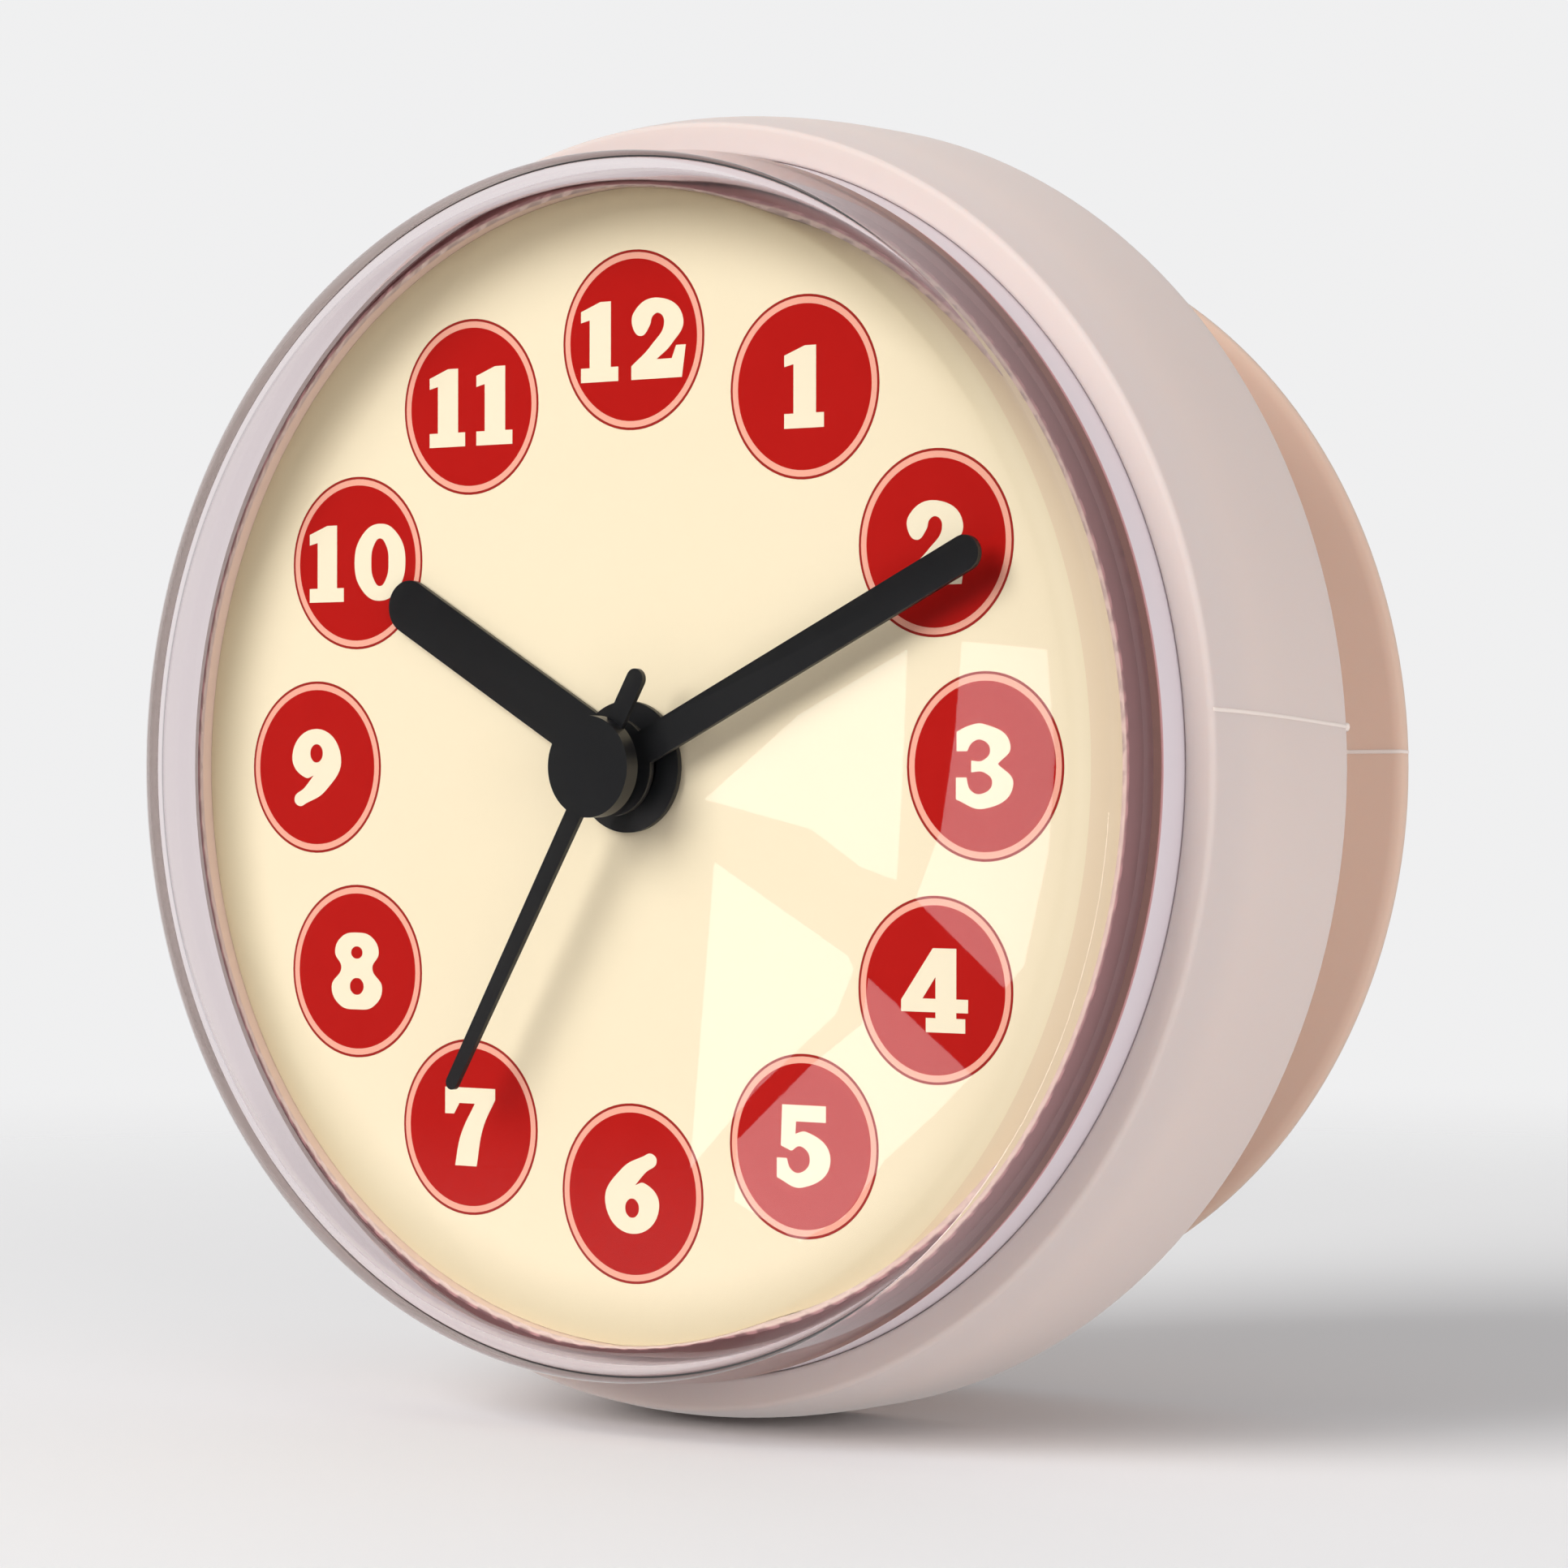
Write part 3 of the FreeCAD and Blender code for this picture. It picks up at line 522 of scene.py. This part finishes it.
# Numerals: bold slab figures printed in cream ink on the badges. Each is drawn as outlines, in hundredths of
# its height. A point marked s lies on a smooth bend, and the others are corners.
figure_height = 5.25
figure_gap = 19.0
figure_ink = 0.03
bend_steps = 8
s = True
figure_outlines = {
    "0": (88, []),
    "1": (60, [[(0, 0), (60, 0), (60, 18), (48, 18), (48, 100), (31, 100), (0, 89), (0, 75), (14, 78),
                (14, 18), (0, 18)]]),
    "2": (88, [[(2, 0), (82, 0), (88, 40), (73, 40), (66, 24), (42, 24), (66, 42, s), (84, 72, s),
                (46, 100, s), (6, 84, s), (4, 66, s), (17, 54, s), (31, 66, s), (36, 78, s), (46, 81, s),
                (54, 70, s), (34, 42, s), (2, 17)]]),
    "3": (86, [[(3, 91), (20, 98, s), (42, 100, s), (80, 74, s), (62, 53), (84, 29, s), (42, 0, s), (2, 11),
                (2, 37), (17, 37), (23, 22, s), (40, 18, s), (54, 31, s), (42, 43, s), (24, 43), (24, 57),
                (40, 57, s), (51, 69, s), (40, 81, s), (25, 78, s), (18, 68), (3, 68)]]),
    "4": (98, [[(46, 100), (80, 100), (80, 40), (97, 40), (97, 24), (80, 24), (80, 17), (93, 17), (93, 0),
                (36, 0), (36, 17), (50, 17), (50, 24), (0, 24), (0, 38)], [(50, 40), (50, 66), (31, 40)]]),
    "5": (84, [[(10, 100), (76, 100), (76, 80), (31, 80), (30, 65), (46, 68, s), (83, 35, s), (40, 0, s),
                (2, 11), (2, 35), (17, 35), (23, 22, s), (37, 18, s), (52, 34, s), (38, 50, s), (24, 44),
                (8, 50)]]),
    "6": (86, [[(60, 97, s), (74, 101, s), (82, 92, s), (64, 77, s), (48, 61), (62, 64, s), (86, 35, s),
                (43, 0, s), (0, 37, s), (26, 80, s)]]),
    "7": (84, [[(0, 100), (84, 100), (84, 86), (64, 50, s), (53, 0), (17, 0), (26, 38, s), (50, 80), (24, 80),
                (15, 66), (0, 66)]]),
    "8": (88, [[(44, 100, s), (72, 93, s), (82, 74, s), (71, 54, s), (88, 29, s), (75, 6, s), (44, 0, s),
                (13, 6, s), (0, 29, s), (17, 54, s), (6, 74, s), (16, 93, s)]]),
}
figure_rings = {
    "0": [(44, 50, 44, 50, 15, 31)],
    "6": [(43, 32, 0, 0, 11, 12)],
    "8": [(44, 74, 0, 0, 10, 8), (44, 30, 0, 0, 12, 11)],
}


def bend(spline, points):
    """Give a spline the points of an outline, round where they are marked and sharp elsewhere."""
    spline.bezier_points.add(len(points) - 1)
    for knot, point in zip(spline.bezier_points, points):
        knot.co = (point[0], point[1], 0)
        knot.handle_left_type = knot.handle_right_type = "AUTO" if len(point) > 2 else "VECTOR"
    spline.use_cyclic_u = True
    spline.resolution_u = bend_steps


def oval(x, y, half_width, half_height):
    """The eight points of an oval."""
    ways = [math.pi / 4 * k for k in range(8)]
    return [(x + half_width * math.cos(a), y + half_height * math.sin(a), s) for a in ways]


def figure_curves(figure):
    """The outlines of one figure, each part as a list of closed outlines that are filled together."""
    parts = [figure_outlines[figure][1]] if figure_outlines[figure][1] else []
    for x, y, half_width, half_height, hole_width, hole_height in figure_rings.get(figure, []):
        if half_width:
            parts.append([oval(x, y, half_width, half_height), oval(x, y, hole_width, hole_height)])
        else:
            parts[0] = parts[0] + [oval(x, y, hole_width, hole_height)]
    return parts


def printed_number(hour):
    """Print an hour's number, centred on its badge. The 9 is the 6, turned over."""
    figures = str(hour)
    drawn = {"9": "6"}
    widths = [figure_outlines[drawn.get(f, f)][0] for f in figures]
    full = sum(widths) + figure_gap * (len(figures) - 1)
    x, z = hour_place(hour, badge_circle)
    scale = figure_height / 100 * mm
    start = -full / 2
    made = []
    for f, width in zip(figures, widths):
        for outlines in figure_curves(drawn.get(f, f)):
            flat = bpy.data.curves.new("figure", "CURVE")
            flat.dimensions = "2D"
            flat.fill_mode = "BOTH"
            flat.extrude = 0.5 * (figure_ink - ink) * mm / scale
            for outline in outlines:
                bend(flat.splines.new("BEZIER"), outline)
            piece = bpy.data.objects.new("figure", flat)
            bpy.context.collection.objects.link(piece)
            bpy.ops.object.select_all(action="DESELECT")
            bpy.context.view_layer.objects.active = piece
            piece.select_set(True)
            bpy.ops.object.convert(target="MESH")
            piece = bpy.context.object
            turn = Matrix.Rotation(math.pi, 4, "Z") if f == "9" else Matrix.Identity(4)
            middle = Matrix.Translation((start + width / 2, 0, 0))
            centre = Matrix.Translation((-width / 2, -50, 0))
            stand = Matrix.Rotation(math.pi / 2, 4, "X")
            level = dial_face + ink + 0.5 * (figure_ink - ink)
            at = Matrix.Translation((x * mm, -level * mm, z * mm))
            piece.data.transform(at @ stand @ Matrix.Scale(scale, 4) @ middle @ turn @ centre)
            made.append(piece)
        start += width + figure_gap
    bpy.ops.object.select_all(action="DESELECT")
    for piece in made:
        piece.select_set(True)
    bpy.context.view_layer.objects.active = made[0]
    if len(made) > 1:
        bpy.ops.object.join()
    piece = bpy.context.object
    piece.name = piece.data.name = "numeral_%02d" % hour
    piece.select_set(False)
    piece.data.materials.clear()
    piece.data.materials.append(figure_cream)
    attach(piece, "core")


figure_cream = finish("numeral_cream", srgb(255, 246, 218), srgb(255, 244, 214), rough=(0.5, 0.6),
                      grain=200.0, Specular_IOR_Level=0.15)
for hour in range(1, 13):
    printed_number(hour)

# Hands: stamped strips on round bosses, painted satin black. The hour hand lies lowest, then the minute hand,
# and the second hand rides on top under a round cap.
hour_reach = 23.55
hour_width = 3.6
hour_boss_r = 4.3
hour_angle = 299.8
minute_reach = 31.85
minute_width = 2.25
minute_boss_r = 3.2
minute_angle = 64.7
second_reach = 24.7
second_width = 1.35
second_tip = 0.95
second_cap_r = 3.3
second_angle = 210.3
tail_reach = 7.2
second_wall = 0.35
hand_edge = 0.06
hand_corner = 40.0
boss_sides = 96
tip_steps = 12
tip_share = 0.999
hand_black = finish("hand_black", srgb(26, 27, 29), srgb(22, 23, 25), rough=(0.34, 0.46), grain=500.0,
                    bump=0.08, bump_grain=4000.0)


def disc(name, r, low, high):
    """A round plate on the clock's axis between two heights."""
    bpy.ops.mesh.primitive_cylinder_add(
        vertices=boss_sides, radius=r * mm, depth=(high - low) * mm,
        location=(0, -(low + high) / 2 * mm, 0), rotation=(math.pi / 2, 0, 0))
    plate = bpy.context.object
    plate.name = plate.data.name = name
    bpy.ops.object.transform_apply(location=True, rotation=True, scale=True)
    return plate


def strip(name, length, wide, narrow, low, high):
    """A flat strip from the axis up to its round tip, narrower at the tip, between two heights."""
    bpy.ops.mesh.primitive_cube_add(size=1, location=(0, -(low + high) / 2 * mm, length / 2 * mm))
    blade = bpy.context.object
    blade.name = blade.data.name = name
    blade.scale = (wide * mm, (high - low) * mm, length * mm)
    bpy.ops.object.transform_apply(location=True, rotation=True, scale=True)
    for v in blade.data.vertices:
        if v.co.z > length / 2 * mm:
            v.co.x *= narrow / wide
    edit(blade)
    bpy.ops.mesh.select_mode(type="EDGE")
    bpy.ops.mesh.select_all(action="DESELECT")
    bpy.ops.object.mode_set(mode="OBJECT")
    for e in blade.data.edges:
        a, b = (blade.data.vertices[i].co for i in e.vertices)
        e.select = a.z > length / 2 * mm and b.z > length / 2 * mm and abs(a.y - b.y) > 0.1 * mm
    bpy.ops.object.mode_set(mode="EDIT")
    bpy.ops.mesh.bevel(
        offset=narrow / 2 * mm * tip_share, offset_type="OFFSET", segments=tip_steps, affect="EDGES")
    bpy.ops.mesh.select_mode(type="VERT")
    bpy.ops.object.mode_set(mode="OBJECT")
    return blade


def joined(first, others, angle):
    """Weld plates and strips into one stamping, break its edges and turn it to its place on the dial."""
    bpy.ops.object.select_all(action="DESELECT")
    bpy.context.view_layer.objects.active = first
    first.select_set(True)
    for other in others:
        weld = first.modifiers.new("weld", "BOOLEAN")
        weld.operation = "UNION"
        weld.solver = "EXACT"
        weld.object = other
        bpy.ops.object.modifier_apply(modifier=weld.name)
        bpy.data.objects.remove(other)
    edge = first.modifiers.new("edge", "BEVEL")
    edge.width = hand_edge * mm
    edge.segments = 2
    edge.limit_method = "ANGLE"
    edge.angle_limit = math.radians(hand_corner)
    bpy.ops.object.modifier_apply(modifier=edge.name)
    first.rotation_euler = (0, math.radians(angle), 0)
    bpy.ops.object.transform_apply(location=True, rotation=True, scale=True)
    bpy.ops.object.shade_smooth_by_angle(angle=math.radians(gentle_edge))
    first.select_set(False)
    first.data.materials.append(hand_black)
    return first


def levels(node):
    """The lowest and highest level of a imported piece, counted forward from the cup's lip."""
    low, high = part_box(node)
    return -high.y / mm, -low.y / mm


hour_low, hour_high = levels("hour_hand")
hour_strip = strip("hour_strip", hour_reach, hour_width, hour_width, hour_low, hour_high)
hour_boss = disc("hour_hand_painted", hour_boss_r, hour_low, hour_high)
hour_hand = joined(hour_boss, [hour_strip], hour_angle)
minute_low, minute_high = levels("minute_hand")
minute_strip = strip("minute_strip", minute_reach, minute_width, minute_width, minute_low, minute_high)
minute_boss = disc("minute_hand_painted", minute_boss_r, minute_low, minute_high)
minute_hand = joined(minute_boss, [minute_strip], minute_angle)
second_low, second_high = levels("second_hand")
strip_high = second_low + second_wall
second_tail = strip("second_tail", tail_reach, second_width, second_width, second_low, strip_high)
second_tail.data.transform(Matrix.Rotation(math.pi, 4, "Y"))
second_strip = strip("second_strip", second_reach, second_width, second_tip, second_low, strip_high)
second_cap = disc("second_hand_painted", second_cap_r, second_low, second_high)
second_hand = joined(second_cap, [second_strip, second_tail], second_angle)
for piece, body in ((hour_hand, "hour"), (minute_hand, "minute"), (second_hand, "second")):
    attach(piece, body)
    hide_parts(body + "_hand")

# Seal: a flat ring of soft brown rubber, pressed between the case's shoulder and the lens's foot. It shows
# through the lens's foot. Its colour runs from brown on the right to pale on the left, as in the photo: the
# pale is a painted reflection of the bright room.
seal_brown_to, seal_glare_from = 12.0, -12.0
# A painted reflection: the seal turns pale on the left, where the bright room is mirrored.
seal_painted_glare = srgb(226, 216, 216)
seal_rubber = finish("seal_rubber", srgb(156, 110, 100), srgb(150, 105, 96), rough=(0.45, 0.55), grain=900.0)
fade_along(seal_rubber, "X", seal_brown_to * mm, seal_glare_from * mm, seal_painted_glare)
round_out(dressed("lens_seal", seal_rubber), finer_from_r, finer_cuts)

# Lens: a clear moulded cap with a flat pane, a rounded shoulder and a thin skirt that stands on the seal.
# It is one wall of clear acrylic, polished inside and out, with a faint pink cast along the skirt.
# The seal's colour lies on the skirt's foot, where the rubber is pressed on it.
foot, lens_top = levels("front_lens")
lens_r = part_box("front_lens")[1].x / mm
lens_wall = 0.9
lens_pane = 1.0
outer_round = 1.9
inner_round = 1.6
draft = 0.5
ease = 2.0
flat_margin = 0.06
lens_sides = 256
lens_smooth = 40.0
lens_index = 1.36
lens_bore = lens_r - lens_wall
shoulder_from_r = 37.6
skirt_from_r = 39.2
shoulder_steps = 24
foot_margin = 0.01


def lens_side(foot_r, round_r, top):
    """One side of the lens's wall: up the drafted skirt, over the shoulder and in to the axis at the top."""
    centre_r = foot_r - draft - round_r
    side = [(foot_r, foot)]
    for k in range(shoulder_steps + 1):
        a = math.pi / 2 * k / shoulder_steps
        out = round_r * math.cos(a) ** (2 / ease)
        up = round_r * (1 - math.sin(a) ** (2 / ease))
        side.append((centre_r + out, top - up))
    return side + [(centre_r - flat_margin, top), (pole_r, top)]


outer = lens_side(lens_r, outer_round, lens_top)[::-1]
inner = lens_side(lens_bore, inner_round, lens_top - lens_pane)
lens = lathe("front_lens_clear", outer + inner, lens_sides, lens_smooth)


def clear_acrylic(name, cast, shade):
    """Clear acrylic with a cast of colour. Lamp light passes straight through it and takes on the shade."""
    clear = bpy.data.materials.new(name)
    clear.use_nodes = True
    nodes, links = clear.node_tree.nodes, clear.node_tree.links
    acrylic = nodes["Principled BSDF"]
    acrylic.inputs["Base Color"].default_value = cast
    acrylic.inputs["Transmission Weight"].default_value = 1.0
    acrylic.inputs["IOR"].default_value = lens_index
    acrylic.inputs["Specular IOR Level"].default_value = 0.8
    acrylic.inputs["Roughness"].default_value = 0.01
    lamp_way = nodes.new("ShaderNodeBsdfTransparent")
    lamp_way.inputs["Color"].default_value = shade
    rays = nodes.new("ShaderNodeLightPath")
    choice = nodes.new("ShaderNodeMixShader")
    links.new(rays.outputs["Is Shadow Ray"], choice.inputs["Fac"])
    links.new(acrylic.outputs["BSDF"], choice.inputs[1])
    links.new(lamp_way.outputs["BSDF"], choice.inputs[2])
    links.new(choice.outputs["Shader"], nodes["Material Output"].inputs["Surface"])
    return clear


clear_cast = srgb(252, 250, 251)
skirt_cast = srgb(242, 226, 228)
pane_shade = (0.95, 0.95, 0.94, 1.0)
rim_shade = (0.42, 0.39, 0.36, 1.0)
lens.data.materials.append(clear_acrylic("clear_lens", clear_cast, pane_shade))
lens.data.materials.append(clear_acrylic("clear_shoulder", clear_cast, rim_shade))
lens.data.materials.append(clear_acrylic("clear_skirt", skirt_cast, rim_shade))
lens.data.materials.append(seal_rubber)
for face in lens.data.polygons:
    away = math.hypot(face.center.x, face.center.z)
    face.material_index = (away > shoulder_from_r * mm) + (away > skirt_from_r * mm)
    if face.center.y > -(foot + foot_margin) * mm:
        face.material_index = 3
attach(lens, "core")
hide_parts("front_lens")

# Camera: it stands to the right of the clock, level with its middle, with a long lens. Its place and its
# lens are fitted to the clock's outlines in the photo.
scene = bpy.context.scene
focal_px = 5870.1
frame_px = 1932.0
sensor = 36.0
camera_at = Vector((0.19528, -0.27785, -0.0008))
camera_turn = 37.003
camera_tilt = 0.058
camera_roll = 0.060
camera_data = bpy.data.cameras.new("camera")
camera_data.sensor_width = sensor
camera_data.lens = focal_px / frame_px * sensor
camera_data.clip_start = 0.01
camera_data.clip_end = 50.0
camera = bpy.data.objects.new("camera", camera_data)
turn = Matrix.Rotation(math.radians(camera_turn), 4, "Z")
tilt = Matrix.Rotation(math.radians(90 - camera_tilt), 4, "X")
roll = Matrix.Rotation(math.radians(camera_roll), 4, "Z")
camera.matrix_world = Matrix.Translation(camera_at) @ turn @ tilt @ roll
scene.collection.objects.link(camera)
scene.camera = camera

# Floor: a pale table top that the clock's rim stands on. It isn't mirrored in the clock, and away from the
# clock it melts into the pale background.
floor_level = cup_low.z
floor_r = 2.0
floor_sides = 128
melt_from, melt_to = 0.07, 0.34
bpy.ops.mesh.primitive_circle_add(
    vertices=floor_sides, radius=floor_r, fill_type="NGON", location=(0, 0, floor_level))
floor = bpy.context.object
floor.name = floor.data.name = "floor"
bpy.ops.object.transform_apply(location=True, rotation=True, scale=True)
floor_white = finish("floor_white", srgb(245, 245, 246), srgb(242, 242, 244), rough=(0.7, 0.8), grain=3.0)
floor_nodes, floor_links = floor_white.node_tree.nodes, floor_white.node_tree.links
floor_place = floor_nodes.new("ShaderNodeTexCoord")
flat_place = floor_nodes.new("ShaderNodeVectorMath")
flat_place.operation = "MULTIPLY"
flat_place.inputs[1].default_value = (1.0, 1.0, 0.0)
away = floor_nodes.new("ShaderNodeVectorMath")
away.operation = "LENGTH"
melt = floor_nodes.new("ShaderNodeMapRange")
melt.interpolation_type = "SMOOTHSTEP"
melt.inputs["From Min"].default_value = melt_from
melt.inputs["From Max"].default_value = melt_to
melted = floor_nodes.new("ShaderNodeMixShader")
floor_links.new(floor_place.outputs["Object"], flat_place.inputs[0])
floor_links.new(flat_place.outputs["Vector"], away.inputs[0])
floor_links.new(away.outputs["Value"], melt.inputs["Value"])
floor_links.new(melt.outputs["Result"], melted.inputs["Fac"])
floor_links.new(floor_nodes["Principled BSDF"].outputs["BSDF"], melted.inputs[1])
floor_links.new(floor_nodes.new("ShaderNodeBsdfTransparent").outputs["BSDF"], melted.inputs[2])
floor_links.new(melted.outputs["Shader"], floor_nodes["Material Output"].inputs["Surface"])
floor.data.materials.append(floor_white)
floor.visible_glossy = False

# Sky: an even pale room. What is seen of it, straight or thrown back inside the lens, is nearly white, and
# the light that it gives is softer. In front on the left the room is dark, so the dial keeps its colours.
scene.view_settings.view_transform = "Standard"
scene.view_settings.look = "None"
sky_colour = (1.0, 1.0, 1.005, 1.0)
sky_seen = 0.87
sky_light = 0.42
dark_way = (-0.6, -0.8, 0.0)
dark_full, dark_none = math.cos(math.radians(24)), math.cos(math.radians(50))
sky = bpy.data.worlds.new("pale_sky")
sky.use_nodes = True
sky_nodes, sky_links = sky.node_tree.nodes, sky.node_tree.links
sky_nodes["Background"].inputs["Color"].default_value = sky_colour
sky_way = sky_nodes.new("ShaderNodeTexCoord")
toward_dark = sky_nodes.new("ShaderNodeVectorMath")
toward_dark.operation = "DOT_PRODUCT"
toward_dark.inputs[1].default_value = dark_way
light_from = sky_nodes.new("ShaderNodeMapRange")
light_from.interpolation_type = "SMOOTHSTEP"
light_from.inputs["From Min"].default_value = dark_none
light_from.inputs["From Max"].default_value = dark_full
light_from.inputs["To Min"].default_value = sky_light
light_from.inputs["To Max"].default_value = 0.0
sky_links.new(sky_way.outputs["Generated"], toward_dark.inputs[0])
sky_links.new(toward_dark.outputs["Value"], light_from.inputs["Value"])


def reckon(operation, *values, clamp=False):
    """A sum in the sky's nodes. Each value is a number or another node's output."""
    step = sky_nodes.new("ShaderNodeMath")
    step.operation = operation
    step.use_clamp = clamp
    for socket, value in zip(step.inputs, values):
        if isinstance(value, float):
            socket.default_value = value
        else:
            sky_links.new(value, socket)
    return step.outputs["Value"]


ray_kind = sky_nodes.new("ShaderNodeLightPath").outputs
bounces = reckon("ADD", ray_kind["Glossy Depth"], ray_kind["Diffuse Depth"])
straight = reckon("SUBTRACT", ray_kind["Is Transmission Ray"], bounces, clamp=True)
seen = reckon("MAXIMUM", ray_kind["Is Camera Ray"], straight)
mirrored = reckon("ADD", ray_kind["Is Transmission Ray"], ray_kind["Is Glossy Ray"], clamp=True)
thrown = reckon("SUBTRACT", mirrored, ray_kind["Diffuse Depth"], clamp=True)
brighter = reckon("MULTIPLY_ADD", thrown, sky_seen / sky_light - 1.0, 1.0)
strength = sky_nodes.new("ShaderNodeMix")
strength.inputs["B"].default_value = sky_seen
sky_links.new(seen, strength.inputs["Factor"])
sky_links.new(reckon("MULTIPLY", brighter, light_from.outputs["Result"]), strength.inputs["A"])
sky_links.new(strength.outputs["Result"], sky_nodes["Background"].inputs["Strength"])
scene.world = sky

# Lamps: a broad one high on the left in front for the soft shadows, and a broad fill on the right. Both face
# the clock, and neither is mirrored in it.
key_at, key_side, key_watts = (-0.42, -1.1, 0.66), 0.85, 18.5
key_colour = (1.0, 0.99, 0.97)
fill_at, fill_side, fill_watts = (1.0, -0.55, 0.02), 0.8, 6.0
fill_colour = (1.0, 1.0, 1.0)


def lamp(name, place, side, watts, colour):
    """A flat square lamp at a place, facing the clock."""
    light = bpy.data.lights.new(name, "AREA")
    light.shape = "SQUARE"
    light.size = side
    light.energy = watts
    light.color = colour
    fixture = bpy.data.objects.new(name, light)
    fixture.location = place
    fixture.rotation_euler = (-Vector(place)).to_track_quat("-Z", "Y").to_euler()
    fixture.visible_glossy = False
    fixture.visible_transmission = False
    scene.collection.objects.link(fixture)


lamp("key_lamp", key_at, key_side, key_watts, key_colour)
lamp("fill_lamp", fill_at, fill_side, fill_watts, fill_colour)

# Window: the four bright panes of a window on the left in front, whose mirror image lies in the lens.
# Each pane is set out where its image shows, in the photograph's pixels, and is then mirrored in the lens.
window_away = 0.62
window_glow = 5.2
window_panes = {
    "upper_left": [(868, 985), (985, 880), (1118, 800), (1112, 960), (1105, 1085), (1060, 1068),
                   (1000, 1022)],
    "upper_right": [(1185, 790), (1290, 800), (1300, 930), (1292, 1050), (1262, 1190), (1238, 1218),
                    (1128, 1108), (1160, 1020), (1177, 900)],
    "lower_left": [(880, 1062), (1045, 1178), (1052, 1195), (1030, 1250), (985, 1292), (930, 1345),
                   (850, 1440)],
    "lower_right": [(1070, 1205), (1198, 1325), (1150, 1375), (1090, 1430), (1040, 1500), (985, 1530),
                    (905, 1480), (908, 1405), (1000, 1312), (1062, 1262)],
}


def glowing(name, strength):
    """A surface that gives off even white light."""
    material = bpy.data.materials.new(name)
    material.use_nodes = True
    nodes, links = material.node_tree.nodes, material.node_tree.links
    nodes.clear()
    bright = nodes.new("ShaderNodeEmission")
    bright.inputs["Strength"].default_value = strength
    end = nodes.new("ShaderNodeOutputMaterial")
    links.new(bright.outputs["Emission"], end.inputs["Surface"])
    return material


def only_mirrored(card, material):
    """Give a card its glow, and let only mirror reflections see it."""
    card.data.materials.append(material)
    card.visible_camera = card.visible_diffuse = card.visible_transmission = card.visible_shadow = False
    card.select_set(False)


pane_glow = glowing("window_glow", window_glow)
lens_face = -lens_top * mm
for name, corners in window_panes.items():
    bpy.ops.mesh.primitive_circle_add(vertices=len(corners), radius=0.05, fill_type="NGON")
    pane = bpy.context.object
    pane.name = pane.data.name = "window_" + name
    for corner, (u, v) in zip(pane.data.vertices, corners):
        ray = Vector(((u - frame_px / 2) / focal_px, (frame_px / 2 - v) / focal_px, -1.0))
        seen_at = camera.matrix_world @ (ray * window_away)
        corner.co = (seen_at.x, 2 * lens_face - seen_at.y, seen_at.z)
    only_mirrored(pane, pane_glow)

# Glint: a long bright strip behind on the right, below the floor, which runs as a white line along the lens's
# lower right edge.
glint_glow = 9.0
glint_line = [(0.80, 0.56, -0.10), (0.62, 0.60, -0.46), (0.30, 0.64, -0.68), (-0.16, 0.67, -0.74)]
glint_depth = 0.06
bpy.ops.mesh.primitive_grid_add(x_subdivisions=len(glint_line) - 1, y_subdivisions=1, size=1)
strip_card = bpy.context.object
strip_card.name = strip_card.data.name = "glint_strip"
for v in strip_card.data.vertices:
    x, y, z = glint_line[round((v.co.x + 0.5) * (len(glint_line) - 1))]
    v.co = (x, y + v.co.y * glint_depth, z)
only_mirrored(strip_card, glowing("glint_glow", glint_glow))
